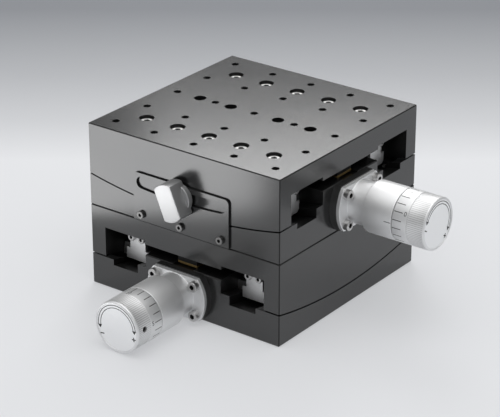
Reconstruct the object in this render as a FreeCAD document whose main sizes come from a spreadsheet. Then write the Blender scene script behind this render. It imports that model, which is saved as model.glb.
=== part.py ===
"""Two-axis goniometer stage: two alike tilt stages, crossed and stacked.

Each stage is a black base and a table that hangs in it on curved crossed-roller
guides. A worm on the dial's shaft drives a brass worm-wheel segment under the
table, and a wing knob clamps the table to a slotted plate on the base's side.

Frame: origin at the centre of the lower base's bottom face, +Z up, millimetres
and degrees. Every piece of a stage is drawn in the stage's own frame: +X is the
way the table travels and the side of the dial, -Y is the side of the clamp. The
upper stage stands in that frame on top of the lower one, and the lower stage is
the same design turned by -90 degrees about Z.
"""

import FreeCAD, Part
import math
import os

import Sketcher

Vector = FreeCAD.Vector

SIZES = {
    # Plates
    "plate_width": (120.0, "side of the square base and table"),
    "stage_height": (45.0, "height of one stage"),
    "plate_chamfer": (0.5, "chamfer on the outer edges of base and table"),
    "tilt_centre": (291.0, "height of the centre of rotation above the stage's bottom"),
    "tilt_travel": (5.0, "tilt each way, in degrees"),
    "split_radius": (280.0, "radius of the curved joint between base and table"),
    "split_gap": (0.8, "running gap in that joint"),
    # Base
    "core_width": (48.0, "width of the block between the guides"),
    "core_height": (26.2, "height of that block"),
    "ledge_radius": (278.6, "radius of the seats of the inner base rails"),
    "groove_width": (16.2, "width of the groove under each table rail"),
    "groove_radius": (283.5, "radius of the groove's floor"),
    "notch_width": (13.0, "width of the worm wheel's notch in the block"),
    "mount_pitch": (100.0, "spacing of the base's mounting holes"),
    "mount_hole": (2.75, "radius of the base's mounting holes"),
    "mount_seat": (6.0, "height of the screw seats in those holes"),
    # Guides
    "rail_line": (37.5, "distance from each guide's centre line to the stage's"),
    "track_radius": (276.3, "radius of the rollers' path"),
    "roller_seat": (3.4, "distance between opposite faces of the vee tracks"),
    "roller_clearance": (0.1, "clearance of a roller at each end and side"),
    "roller_step": (2.2, "angle between rollers, in degrees"),
    "roller_count": (5, "rollers in one track"),
    "track_gap": (2.7, "gap between a table rail and a base rail"),
    "table_rail_width": (10.0, "width of a table rail"),
    "table_rail_length": (96.0, "length of a table rail"),
    "rail_foot_gap": (3.5, "gap under a table rail"),
    "base_rail_angle": (19.0, "arc covered by a base rail, in degrees"),
    "base_rail_crown": (2.3, "height of a base rail above its track"),
    "outer_rail_width": (5.0, "width of an outer base rail"),
    "rail_bolt_spread": (30.0, "distance of the base rails' screws from the middle"),
    "rail_bolt_seat": (5.5, "height of the seats of those screws"),
    "rail_bolt_length": (12.0, "length of those screws' shanks"),
    "rail_bolt_recess": (2.5, "radius of the recesses under them"),
    "cage_thickness": (0.8, "thickness of a roller cage"),
    "cage_width": (6.4, "width of a roller cage"),
    "cage_angle": (12.4, "arc covered by a roller cage, in degrees"),
    # End plates of the table rails
    "end_plate_thickness": (2.0, "thickness of a rail's end plate"),
    "end_plate_flange": (14.8, "width of its foot"),
    "end_plate_foot": (15.0, "height of its lower edge"),
    "end_plate_shoulder": (21.2, "height of its shoulders"),
    "end_plate_top": (30.5, "height of its upper edge"),
    "end_plate_chamfer": (1.5, "chamfer on the foot's lower corner"),
    "end_screw_spacing": (6.4, "spacing of its two screws"),
    "end_screw_height": (28.0, "height of its two screws"),
    # Table
    "pocket_width": (26.3, "width of each guide pocket under the table"),
    "pocket_ceiling": (34.0, "height of the pocket's ceiling"),
    "recess_ceiling": (32.0, "height of the ceiling over the block"),
    "grid_pitch": (25.0, "spacing of the tapped holes"),
    "grid_count": (5, "tapped holes in one row"),
    "grid_depth": (9.0, "depth of the tapped holes"),
    "rail_screw_pitch": (20.0, "spacing of the table rail's screws"),
    "wheel_screw_inner": (15.0, "distance of the worm wheel's inner screws from the middle"),
    "wheel_screw_outer": (35.0, "distance of its outer screws from the middle"),
    "wheel_screw_sink": (8.0, "depth of the worm wheel's screw seats"),
    # Worm drive
    "gear_module": (1.0, "module of worm and wheel"),
    "wheel_teeth": (540, "teeth on a full circle of the worm wheel"),
    "wheel_width": (12.0, "width of the worm wheel segment"),
    "wheel_length": (112.0, "length of the worm wheel segment"),
    "wheel_clearance": (1.0, "clearance under the worm wheel's teeth"),
    "worm_radius": (7.0, "pitch radius of the worm"),
    "worm_turns": (4, "turns of the worm's thread"),
    "worm_facets": (12, "flats in one turn of the worm's thread and core"),
    "thread_sink": (0.7, "depth of the thread's foot in the worm's core"),
    "tooth_angle": (20.0, "pressure angle of the teeth, in degrees"),
    "tooth_root": (1.25, "depth of a tooth's root under the pitch line, in modules"),
    "tooth_mouth": (1.4, "reach of the tooth cutter past the pitch line, in modules"),
    "tooth_play": (0.3, "play between thread and tooth space"),
    "shaft_radius": (5.0, "radius of the worm shaft between its bearings"),
    "journal_radius": (3.0, "radius of the shaft in its bearings and in the dial"),
    "bearing_radius": (8.5, "outer radius of a worm bearing"),
    "bearing_width": (6.0, "width of a worm bearing"),
    "bearing_inset": (3.0, "depth of a worm bearing behind the block's end"),
    "running_clearance": (0.05, "radial clearance of a shaft or screw in its hole"),
    # Dial end
    "boss_radius": (18.3, "radius of the black bearing boss"),
    "boss_thickness": (4.0, "thickness of the boss"),
    "flange_radius": (18.3, "radius of the sleeve's flange"),
    "flange_flat": (11.7, "distance of the flange's flats from the axis"),
    "flange_thickness": (2.0, "thickness of the flange"),
    "flange_screw_side": (12.7, "sideways distance of the flange screws from the axis"),
    "flange_screw_rise": (8.2, "upward distance of the flange screws from the axis"),
    "neck_radius": (11.5, "radius of the sleeve's neck"),
    "neck_length": (9.8, "length of the neck"),
    "dial_radius": (13.7, "radius of sleeve, dial and cap"),
    "sleeve_length": (17.2, "length of the sleeve beyond its neck"),
    "sleeve_bore": (4.5, "radius of the sleeve's bore"),
    "dial_gap": (0.3, "running gap between sleeve and dial"),
    "dial_length": (8.5, "length of the graduated ring"),
    "hub_radius": (8.0, "radius of the cap's hub inside the ring"),
    "cap_length": (10.2, "length of the cap"),
    "cap_wall": (3.0, "thickness of the cap's end"),
    "cap_rounding": (1.2, "rounding of the cap's end"),
    "dial_chamfer": (0.4, "small chamfers on sleeve, dial and cap"),
    "set_screw_radius": (1.5, "radius of the cap's set screw"),
    "set_screw_place": (5.0, "distance of the set screw from the cap's inner end"),
    "set_screw_sink": (0.8, "depth of the set screw under the cap's surface"),
    "set_screw_turn": (-85.0, "turn of the set screw about the shaft, from the top, in degrees"),
    # Clamp
    "clamp_plate_width": (60.0, "width of the clamp plate"),
    "clamp_plate_thickness": (2.0, "thickness of the clamp plate"),
    "clamp_plate_foot": (0.5, "height of its lower edge"),
    "clamp_plate_top": (26.5, "height of its upper edge"),
    "clamp_plate_rounding": (2.5, "radius of its upper corners"),
    "clamp_height": (20.3, "height of the clamp screw"),
    "slot_width": (6.4, "width of the curved slot"),
    "slot_reserve": (0.25, "travel left in the slot past the tilt, in degrees"),
    "clamp_screw_pitch": (25.0, "spacing of the plate's three screws"),
    "clamp_screw_height": (4.0, "height of those screws"),
    "stud_radius": (3.0, "radius of the clamp stud"),
    "stud_reach": (8.0, "depth of the stud in the table's wall"),
    "knob_radius": (10.0, "radius of the clamp knob"),
    "knob_disc": (2.5, "thickness of the knob's disc"),
    "wing_width": (10.0, "width of the knob's wing"),
    "wing_depth": (10.0, "depth of the knob's wing"),
    "wing_rounding": (0.6, "rounding of the wing's front edge"),
    "wing_lean": (23.0, "lean of the wing, in degrees"),
    "clamp_running_gap": (0.1, "gap between knob and plate"),
    # Screws, by their thread: M5, M4, M3 and M2.5
    "joining_shank": (2.5, "radius of an M5 shank, of the screws that join the stages"),
    "joining_head": (4.25, "radius of an M5 head"),
    "joining_head_height": (5.0, "height of an M5 head"),
    "joining_length": (12.0, "length of an M5 shank"),
    "joining_seat": (4.6, "radius of the counterbores for M5 heads in the base"),
    "large_shank": (2.0, "radius of an M4 shank"),
    "large_head": (3.5, "radius of an M4 head"),
    "large_head_height": (4.0, "height of an M4 head"),
    "large_length": (12.0, "length of an M4 shank"),
    "table_seat": (4.0, "radius of the counterbores in the table's top"),
    "head_sink": (1.0, "depth of an M4 head under the table's top"),
    "middle_shank": (1.5, "radius of an M3 shank"),
    "middle_head": (2.75, "radius of an M3 head"),
    "middle_head_height": (3.0, "height of an M3 head"),
    "middle_length": (8.0, "length of an M3 shank"),
    "middle_seat": (3.25, "radius of the counterbores for M3 heads"),
    "small_shank": (1.25, "radius of an M2.5 shank"),
    "small_head": (2.1, "radius of an M2.5 head"),
    "small_head_height": (1.6, "height of an M2.5 head"),
    "small_length": (6.0, "length of an M2.5 shank"),
}


class Size:
    """A length or angle that knows its value and how the sheet works it out."""

    def __init__(self, value, text):
        self.value = value
        self.text = text

    def __add__(self, other):
        other = as_size(other)
        return Size(self.value + other.value, f"({self.text} + {other.text})")

    def __radd__(self, other):
        return as_size(other) + self

    def __sub__(self, other):
        other = as_size(other)
        return Size(self.value - other.value, f"({self.text} - {other.text})")

    def __rsub__(self, other):
        return as_size(other) - self

    def __mul__(self, other):
        other = as_size(other)
        return Size(self.value * other.value, f"({self.text} * {other.text})")

    def __rmul__(self, other):
        return as_size(other) * self

    def __truediv__(self, other):
        other = as_size(other)
        return Size(self.value / other.value, f"({self.text} / {other.text})")

    def __rtruediv__(self, other):
        return as_size(other) / self

    def __neg__(self):
        return Size(-self.value, f"(-1 * {self.text})")


def as_size(value):
    """A plain number as a Size; a Size as it is."""
    if isinstance(value, Size):
        return value
    return Size(float(value), repr(float(value)))


def root(size):
    return Size(math.sqrt(size.value), f"sqrt({size.text})")


def sine(size):
    return Size(math.sin(math.radians(size.value)), f"sin({size.text})")


def cosine(size):
    return Size(math.cos(math.radians(size.value)), f"cos({size.text})")


def tangent(size):
    return Size(math.tan(math.radians(size.value)), f"tan({size.text})")


class Sheet:
    """The spreadsheet of driving sizes; each is read as an attribute."""

    def __init__(self, doc):
        page = doc.addObject("Spreadsheet::Sheet", "Sizes")
        for row, (name, (value, meaning)) in enumerate(SIZES.items(), start=1):
            page.set(f"A{row}", name)
            page.set(f"B{row}", repr(value))
            page.set(f"C{row}", meaning)
            page.setAlias(f"B{row}", name)
            setattr(self, name, Size(value, f"Sizes.{name}"))


doc = FreeCAD.newDocument("goniometer_stage")
sheet = Sheet(doc)
doc.recompute()

# Places that follow from the driving sizes, in a stage's own frame
half_plate = sheet.plate_width / 2
half_core = sheet.core_width / 2
base_split = sheet.split_radius + sheet.split_gap / 2
table_split = sheet.split_radius - sheet.split_gap / 2
wheel_pitch_radius = sheet.gear_module * sheet.wheel_teeth / 2
wheel_tip_radius = wheel_pitch_radius + sheet.gear_module
worm_axis = sheet.tilt_centre - wheel_pitch_radius - sheet.worm_radius
rail_face = sheet.table_rail_width / 2 + sheet.track_gap
vee_depth = (sheet.roller_seat * root(as_size(2)) - sheet.track_gap) / 2
boss_face = half_plate + sheet.boss_thickness
flange_face = boss_face + sheet.flange_thickness
sleeve_start = flange_face + sheet.neck_length
sleeve_end = sleeve_start + sheet.sleeve_length
dial_start = sleeve_end + sheet.dial_gap
cap_start = dial_start + sheet.dial_length
cap_end = cap_start + sheet.cap_length
bearing_back = half_plate - sheet.bearing_inset
bearing_front = bearing_back - sheet.bearing_width
clamp_path_radius = sheet.tilt_centre - sheet.clamp_height
plate_face = half_plate + sheet.clamp_plate_thickness
clearance = sheet.running_clearance

TURNS = {
    "x": FreeCAD.Rotation(Vector(0, 1, 0), 90),
    "y": FreeCAD.Rotation(Vector(1, 0, 0), -90),
    "z": FreeCAD.Rotation(),
}
SIDES = (-1, 1)
CLAMP_SCREW_STEPS = (-1, 0, 1)
RAIL_SCREW_STEPS = (-2, -1, 0, 1, 2)
SAME_PLACE = 1e-6


def bind(thing, **sizes):
    """Ties properties of a document object to expressions of the sheet."""
    for name, size in sizes.items():
        thing.setExpression(name, as_size(size).text)


def bind_place(thing, x=0, y=0, z=0, prefix="Placement"):
    """Ties an object's position to expressions of the sheet."""
    for axis, size in (("x", x), ("y", y), ("z", z)):
        thing.setExpression(f"{prefix}.Base.{axis}", as_size(size).text)


def block(name, xs, ys, zs):
    """A box between two values on each axis."""
    box = doc.addObject("Part::Box", name)
    bind(box, Length=xs[1] - xs[0], Width=ys[1] - ys[0], Height=zs[1] - zs[0])
    bind_place(box, xs[0], ys[0], zs[0])
    return box


def bar(name, axis, radius, start, length):
    """A round bar along an axis, from a starting point."""
    rod = doc.addObject("Part::Cylinder", name)
    rod.Placement = FreeCAD.Placement(Vector(), TURNS[axis])
    bind(rod, Radius=radius, Height=length)
    bind_place(rod, *start)
    return rod


def arc_slab(name, radius, y_from, y_to):
    """A cylinder about the tilt axis, for surfaces that the tilt runs along."""
    return bar(name, "y", radius, (0, y_from, sheet.tilt_centre), y_to - y_from)


def fuse(name, pieces):
    joined = doc.addObject("Part::MultiFuse", name)
    joined.Shapes = pieces
    return joined


def cut(name, base, tools):
    cutter = tools[0] if len(tools) == 1 else fuse(name + "_cutter", tools)
    result = doc.addObject("Part::Cut", name)
    result.Base = base
    result.Tool = cutter
    return result


def common(name, pieces):
    result = doc.addObject("Part::MultiCommon", name)
    result.Shapes = pieces
    return result


def group(name, pieces):
    """Alike pieces that stay separate solids of one node."""
    result = doc.addObject("Part::Compound", name)
    result.Links = pieces
    return result


def new_body(name):
    return doc.addObject("PartDesign::Body", name)


def origin_feature(body, role):
    return next(item for item in body.Origin.OriginFeatures if item.Role == role)


def new_sketch(body, name, plane, offset=0):
    """A sketch on one of the body's own planes, moved along its normal."""
    drawing = body.newObject("Sketcher::SketchObject", name)
    drawing.AttachmentSupport = [(origin_feature(body, plane), "")]
    drawing.MapMode = "FlatFace"
    drawing.setExpression("AttachmentOffset.Base.z", as_size(offset).text)
    return drawing


def pin_value(drawing, size, *constraint):
    """Adds a constraint whose value the sheet works out."""
    size = as_size(size)
    index = drawing.addConstraint(Sketcher.Constraint(*constraint, size.value))
    drawing.setExpression(f"Constraints[{index}]", size.text)


def pin_point(drawing, geometry, end, x, y):
    """Fixes a point of the sketch at a place worked out by the sheet."""
    pin_value(drawing, x, "DistanceX", -1, 1, geometry, end)
    pin_value(drawing, y, "DistanceY", -1, 1, geometry, end)


def outline(drawing, points, bends=None):
    """Draws a closed outline counterclockwise through its points.

    bends gives the radius and centre of each curved side by its number. A side
    that is a half circle bulges outwards.
    """
    bends = bends or {}
    points = [(as_size(x), as_size(y)) for x, y in points]
    count = len(points)
    sides = []
    half_circles = set()
    for index in range(count):
        start = Vector(points[index][0].value, points[index][1].value)
        end = Vector(points[(index + 1) % count][0].value, points[(index + 1) % count][1].value)
        if index not in bends:
            sides.append((drawing.addGeometry(Part.LineSegment(start, end)), 1, 2))
            continue
        radius, centre = bends[index]
        middle = Vector(as_size(centre[0]).value, as_size(centre[1]).value)
        circle = Part.Circle(middle, Vector(0, 0, 1), as_size(radius).value)
        swing = (start - middle).cross(end - middle).z
        if abs(swing) < SAME_PLACE:
            half_circles.add(index)
        forward = swing > 0 or index in half_circles
        first, last = (start, end) if forward else (end, start)
        arc = Part.ArcOfCircle(circle, circle.parameter(first), circle.parameter(last))
        geometry = drawing.addGeometry(arc)
        sides.append((geometry, 1, 2) if forward else (geometry, 2, 1))
    for index in range(count):
        geometry, _, end = sides[index]
        following, start, _ = sides[(index + 1) % count]
        drawing.addConstraint(Sketcher.Constraint("Coincident", geometry, end, following, start))
    for index in range(count):
        geometry, start, _ = sides[index]
        pin_point(drawing, geometry, start, *points[index])
    for index, (radius, centre) in bends.items():
        if index in half_circles:
            pin_value(drawing, centre[0], "DistanceX", -1, 1, sides[index][0], 3)
        else:
            pin_value(drawing, radius, "Radius", sides[index][0])


def ring(drawing, x, y, radius):
    """Draws a full circle."""
    centre = Vector(as_size(x).value, as_size(y).value)
    circle = Part.Circle(centre, Vector(0, 0, 1), as_size(radius).value)
    geometry = drawing.addGeometry(circle)
    pin_point(drawing, geometry, 3, x, y)
    pin_value(drawing, radius, "Radius", geometry)


def tilt_axis_line(drawing):
    """A construction line along the tilt axis, for a sketch on the YZ plane."""
    start = Vector(0, sheet.tilt_centre.value)
    end = Vector(sheet.plate_width.value, sheet.tilt_centre.value)
    line = drawing.addGeometry(Part.LineSegment(start, end), True)
    pin_point(drawing, line, 1, 0, sheet.tilt_centre)
    pin_point(drawing, line, 2, sheet.plate_width, sheet.tilt_centre)


def pad(body, name, drawing, length, midplane=False):
    feature = body.newObject("PartDesign::Pad", name)
    feature.Profile = drawing
    feature.Midplane = midplane
    bind(feature, Length=length)
    return feature


def pocket(body, name, drawing, length, midplane=False):
    feature = body.newObject("PartDesign::Pocket", name)
    feature.Profile = drawing
    feature.Midplane = midplane
    bind(feature, Length=length)
    return feature


def turned(body, name, drawing):
    """A piece turned about the body's own X axis."""
    feature = body.newObject("PartDesign::Revolution", name)
    feature.Profile = drawing
    feature.ReferenceAxis = (origin_feature(body, "X_Axis"), [""])
    feature.Angle = 360
    return feature


def swept_about_tilt(body, name, kind, drawing, angle):
    """Sweeps a section about the tilt axis, to both sides of the middle."""
    feature = body.newObject(f"PartDesign::{kind}", name)
    feature.Profile = drawing
    feature.ReferenceAxis = (drawing, ["Axis0"])
    feature.Midplane = True
    bind(feature, Angle=angle)
    return feature


def height_on_arc(radius, x):
    """Height at distance x of an arc about the tilt centre."""
    return sheet.tilt_centre - root(radius * radius - as_size(x) * x)


def screw(name, axis, seat, way, head, head_height, shank, length):
    """A cap screw: a plain head and shank, seated where its head starts."""
    x, y, height = (as_size(value) for value in seat)
    places = {"x": x, "y": y, "z": height}

    def point(offset):
        moved = dict(places)
        moved[axis] = places[axis] + offset
        return (moved["x"], moved["y"], moved["z"])

    head_start = point(0) if way > 0 else point(-head_height)
    shank_start = point(-length) if way > 0 else point(0)
    parts = [
        bar(name + "_head", axis, head, head_start, head_height),
        bar(name + "_shank", axis, shank, shank_start, length),
    ]
    return fuse(name, parts)


class Stage:
    """One tilt stage: makes every piece and puts it at the stage's place."""

    def __init__(self, name, turn, rise, corner_thread):
        self.name = name
        self.turn = FreeCAD.Rotation(Vector(0, 0, 1), turn)
        self.rise = rise
        self.corner_thread = corner_thread
        self.nodes = {}

    def label(self, piece):
        return f"{self.name}_{piece}"

    def place(self, piece, node):
        """Names a finished piece and puts it where the stage stands."""
        piece.Label = self.label(node)
        self.nodes[piece.Label] = piece
        piece.Placement = FreeCAD.Placement(Vector(), self.turn)
        bind_place(piece, 0, 0, self.rise)

    def plate(self, name, low, high):
        """A square plate with chamfered outer edges."""
        body = new_body(name)
        drawing = new_sketch(body, name + "_outline", "XY_Plane", low)
        outline(drawing, [
            (-half_plate, -half_plate), (half_plate, -half_plate),
            (half_plate, half_plate), (-half_plate, half_plate),
        ])
        solid = pad(body, name + "_plate", drawing, high - low)
        doc.recompute()
        edges = [f"Edge{index}" for index, _ in enumerate(solid.Shape.Edges, start=1)]
        chamfer = body.newObject("PartDesign::Chamfer", name + "_chamfer")
        chamfer.Base = (solid, edges)
        bind(chamfer, Size=sheet.plate_chamfer)
        return body

    def base(self):
        """The lower block: core, rail seats, grooves, worm bore and holes."""
        name = self.label("base_block")
        blank = self.plate(name + "_blank", as_size(0), sheet.core_height)
        beyond = half_plate + sheet.split_gap
        groove_inner = sheet.rail_line - sheet.groove_width / 2
        groove_outer = sheet.rail_line + sheet.groove_width / 2
        tools = []
        for side in SIDES:
            bands = (
                (sheet.ledge_radius, half_core, groove_inner),
                (sheet.groove_radius, groove_inner, groove_outer),
                (base_split, groove_outer, beyond),
            )
            for index, (radius, near, far) in enumerate(bands):
                low, high = (near, far) if side > 0 else (-far, -near)
                tools.append(arc_slab(f"{name}_band_{index}", radius, low, high))
        notch_radius = wheel_tip_radius + sheet.wheel_clearance
        tools.append(arc_slab(name + "_notch", notch_radius, -sheet.notch_width / 2, sheet.notch_width / 2))
        bore_end = -bearing_back
        bore_start = (bore_end, 0, worm_axis)
        tools.append(bar(name + "_bore", "x", sheet.bearing_radius, bore_start, beyond - bore_end))
        for x_side in SIDES:
            for y_side in SIDES:
                spot = (sheet.mount_pitch / 2 * x_side, sheet.mount_pitch / 2 * y_side)
                below = (*spot, -sheet.mount_seat)
                seat = (*spot, sheet.mount_seat)
                tools.append(bar(name + "_mount_hole", "z", sheet.mount_hole, below, 3 * sheet.mount_seat))
                tools.append(bar(name + "_mount_seat", "z", sheet.joining_seat, seat, sheet.core_height))
                across = sheet.flange_screw_side * x_side
                up = worm_axis + sheet.flange_screw_rise * y_side
                spot = (boss_face, across, up)
                tools.append(self.screw_hole("x", spot, sheet.middle_shank, -1, sheet.middle_length))
        for step in CLAMP_SCREW_STEPS:
            spot = (sheet.clamp_screw_pitch * step, -plate_face, sheet.clamp_screw_height)
            tools.append(self.screw_hole("y", spot, sheet.small_shank, 1, sheet.small_length))
        for x, y in self.base_rail_screw_places():
            below = (x, y, -sheet.rail_bolt_seat)
            depth = 2 * sheet.rail_bolt_seat
            tools.append(bar(name + "_rail_recess", "z", sheet.rail_bolt_recess, below, depth))
            spot = (x, y, sheet.rail_bolt_seat)
            tools.append(self.screw_hole("z", spot, sheet.small_shank, 1, sheet.rail_bolt_length))
        self.place(cut(name, blank, tools), "base")

    def screw_hole(self, axis, seat, shank, way, length):
        """A hole for a screw's shank: it starts at the screw's seat and clears its tip."""
        depth = length + clearance
        start = list(seat)
        if way < 0:
            index = "xyz".index(axis)
            start[index] = as_size(seat[index]) - depth
        return bar(self.label("screw_hole"), axis, shank + clearance, start, depth)

    def table(self):
        """The upper plate: top with its holes, guide pockets and curved skirts."""
        name = self.label("table_block")
        low = sheet.tilt_centre - table_split - sheet.split_gap
        blank = self.plate(name + "_blank", low, sheet.stage_height)
        beyond = half_plate + sheet.split_gap
        arc = arc_slab(name + "_arc", table_split, -beyond, beyond)
        shell = common(name + "_shell", [blank, arc])
        pocket_inner = sheet.rail_line - sheet.pocket_width / 2
        pocket_outer = sheet.rail_line + sheet.pocket_width / 2
        along = (-beyond, beyond)
        middle = (-pocket_inner, pocket_inner)
        tools = [block(name + "_recess", along, middle, (low, sheet.recess_ceiling))]
        for side in SIDES:
            ys = (pocket_inner, pocket_outer) if side > 0 else (-pocket_outer, -pocket_inner)
            tools.append(block(name + "_pocket", along, ys, (low, sheet.pocket_ceiling)))
        tools += self.tapped_grid(name)
        tools += self.table_screw_holes(name)
        stud_start = (0, -half_plate, sheet.clamp_height)
        stud_hole = sheet.stud_radius + clearance
        tools.append(bar(name + "_stud_hole", "y", stud_hole, stud_start, sheet.stud_reach))
        self.place(cut(name, shell, tools), "table")

    def tapped_grid(self, name):
        """The square grid of tapped holes in the table's top, with a thread of their own at the corners."""
        count = SIZES["grid_count"][0]
        ends = (0, count - 1)
        start = sheet.stage_height - sheet.grid_depth
        length = 2 * sheet.grid_depth
        holes = []
        for row in range(count):
            for column in range(count):
                x = sheet.grid_pitch * (column - (count - 1) / 2)
                y = sheet.grid_pitch * (row - (count - 1) / 2)
                corner = row in ends and column in ends
                thread = self.corner_thread if corner else sheet.large_shank
                holes.append(bar(name + "_tapped", "z", thread, (x, y, start), length))
        return holes

    def rail_screw_places(self):
        return [(sheet.rail_screw_pitch * step, sheet.rail_line * side)
                for side in SIDES for step in RAIL_SCREW_STEPS]

    def wheel_screw_places(self):
        distances = (sheet.wheel_screw_inner, sheet.wheel_screw_outer)
        return [(distance * side, 0) for distance in distances for side in SIDES]

    def table_screw_holes(self, name):
        """Counterbored holes for the screws of the table rails and the worm wheel."""
        holes = []
        seat = sheet.stage_height - sheet.head_sink - sheet.large_head_height
        for x, y in self.rail_screw_places():
            holes.append(bar(name + "_rail_seat", "z", sheet.table_seat, (x, y, seat), sheet.stage_height))
            holes.append(self.screw_hole("z", (x, y, seat), sheet.large_shank, -1, sheet.large_length))
        seat = sheet.stage_height - sheet.wheel_screw_sink
        for x, y in self.wheel_screw_places():
            spot = (x, y, seat)
            holes.append(bar(name + "_wheel_seat", "z", sheet.middle_seat, spot, sheet.stage_height))
            holes.append(self.screw_hole("z", (x, y, seat), sheet.middle_shank, -1, sheet.middle_length))
        return holes

    def base_rail_lines(self):
        """Back, track face and seat radius of the inner and outer rail of one guide."""
        inner_face = sheet.rail_line - rail_face
        outer_face = sheet.rail_line + rail_face
        return (
            (half_core, inner_face, sheet.ledge_radius),
            (outer_face + sheet.outer_rail_width, outer_face, base_split),
        )

    def base_rail_screw_places(self):
        return [(sheet.rail_bolt_spread * end, (back + face) / 2 * side)
                for side in SIDES for back, face, _ in self.base_rail_lines() for end in SIDES]

    def vee(self, face, into):
        """The three points of a track's vee in a rail's face, in the YZ plane."""
        track = sheet.tilt_centre - sheet.track_radius
        return [(face, track - vee_depth), (face + vee_depth * into, track), (face, track + vee_depth)]

    def table_rails(self):
        """Two curved rails with a track on each side, hung under the table."""
        rails = []
        half = sheet.table_rail_length / 2
        foot = sheet.groove_radius - sheet.rail_foot_gap
        for side in SIDES:
            name = self.label("table_rail")
            body = new_body(name)
            middle = sheet.rail_line * side
            drawing = new_sketch(body, name + "_side", "XZ_Plane", -middle)
            ends = height_on_arc(foot, half)
            top = sheet.pocket_ceiling
            outline(drawing, [(-half, ends), (half, ends), (half, top), (-half, top)],
                    {0: (foot, (0, sheet.tilt_centre))})
            pad(body, name + "_bar", drawing, sheet.table_rail_width, midplane=True)
            for flank in SIDES:
                section = new_sketch(body, name + "_vee", "YZ_Plane")
                outline(section, self.vee(middle + sheet.table_rail_width / 2 * flank, -flank))
                tilt_axis_line(section)
                swept_about_tilt(body, name + "_track", "Groove", section, 2 * sheet.base_rail_angle)
            seat = sheet.stage_height - sheet.head_sink - sheet.large_head_height
            holes = [self.screw_hole("z", (x, y, seat), sheet.large_shank, -1, sheet.large_length)
                     for x, y in self.rail_screw_places() if y.value * side > 0]
            for end in SIDES:
                for flank in SIDES:
                    spot = self.end_screw_seat(side, end, flank)
                    holes.append(self.screw_hole("x", spot, sheet.small_shank, -end, sheet.small_length))
            rails.append(cut(name + "_drilled", body, holes))
        self.place(group(self.label("rails_under_table"), rails), "table_rails")

    def base_rails(self):
        """Four curved rails on the base, a pair about each table rail."""
        rails = []
        crown = sheet.tilt_centre - sheet.track_radius + sheet.base_rail_crown
        for side in SIDES:
            for back, face, seat_radius in self.base_rail_lines():
                into = 1 if back.value > face.value else -1
                name = self.label("base_rail")
                body = new_body(name)
                section = new_sketch(body, name + "_section", "YZ_Plane")
                seat = sheet.tilt_centre - seat_radius
                track = self.vee(face * side, into * side)
                outline(section, [(back * side, seat), (face * side, seat), *track,
                                  (face * side, crown), (back * side, crown)])
                tilt_axis_line(section)
                swept_about_tilt(body, name + "_bar", "Revolution", section, sheet.base_rail_angle)
                middle = (back + face) / 2 * side
                holes = [self.screw_hole("z", (sheet.rail_bolt_spread * end, middle, sheet.rail_bolt_seat),
                                         sheet.small_shank, 1, sheet.rail_bolt_length) for end in SIDES]
                rails.append(cut(name + "_drilled", body, holes))
        self.place(group(self.label("rails_on_base"), rails), "base_rails")

    def track_lines(self):
        """Distance of each of the four roller tracks from the stage's middle."""
        offset = (sheet.table_rail_width + sheet.track_gap) / 2
        return [(sheet.rail_line + offset * flank).value * side for side in SIDES for flank in SIDES]

    def roller(self, y, angle, lean, spare):
        """A roller across its track, leaning to one side, at an angle of the arc."""
        radius = sheet.roller_seat.value / 2 - sheet.roller_clearance.value + spare
        length = sheet.roller_seat.value - 2 * sheet.roller_clearance.value + 2 * spare
        solid = Part.makeCylinder(radius, length, Vector(0, 0, -length / 2))
        solid.rotate(Vector(), Vector(1, 0, 0), 45 * lean)
        solid.translate(Vector(0, y, sheet.tilt_centre.value - sheet.track_radius.value))
        solid.rotate(Vector(0, y, sheet.tilt_centre.value), Vector(0, 1, 0), angle)
        return solid

    def roller_places(self):
        """Track, angle and lean of every roller: neighbours cross each other."""
        count = SIZES["roller_count"][0]
        step = sheet.roller_step.value
        return [(y, step * (index - (count - 1) / 2), 1 if index % 2 else -1)
                for y in self.track_lines() for index in range(count)]

    def rollers(self):
        solids = [self.roller(y, angle, lean, 0) for y, angle, lean in self.roller_places()]
        piece = doc.addObject("Part::Feature", self.label("roller_row"))
        piece.Shape = Part.makeCompound(solids)
        self.place(piece, "rollers")

    def roller_cages(self):
        """Thin curved strips with a window for every roller."""
        strips = []
        middle = Vector(0, 0, sheet.tilt_centre.value)
        high = sheet.tilt_centre.value - sheet.track_radius.value + sheet.cage_width.value / 2
        low = high - sheet.cage_width.value
        half = sheet.cage_thickness.value / 2
        sweep = sheet.cage_angle.value
        for y in self.track_lines():
            corners = [Vector(0, y - half, low), Vector(0, y + half, low),
                       Vector(0, y + half, high), Vector(0, y - half, high)]
            section = Part.Face(Part.makePolygon(corners + corners[:1]))
            section.rotate(middle, Vector(0, 1, 0), -sweep / 2)
            strip = section.revolve(middle, Vector(0, 1, 0), sweep)
            windows = [self.roller(track, angle, lean, sheet.roller_clearance.value)
                       for track, angle, lean in self.roller_places() if track == y]
            strips.append(strip.cut(Part.makeCompound(windows)))
        piece = doc.addObject("Part::Feature", self.label("cage_strips"))
        piece.Shape = Part.makeCompound(strips)
        self.place(piece, "roller_cages")

    def end_screw_seat(self, side, end, flank):
        """Where the head of an end plate's screw sits."""
        x = (sheet.table_rail_length / 2 + sheet.end_plate_thickness) * end
        return (x, sheet.rail_line * side + sheet.end_screw_spacing / 2 * flank, sheet.end_screw_height)

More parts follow.
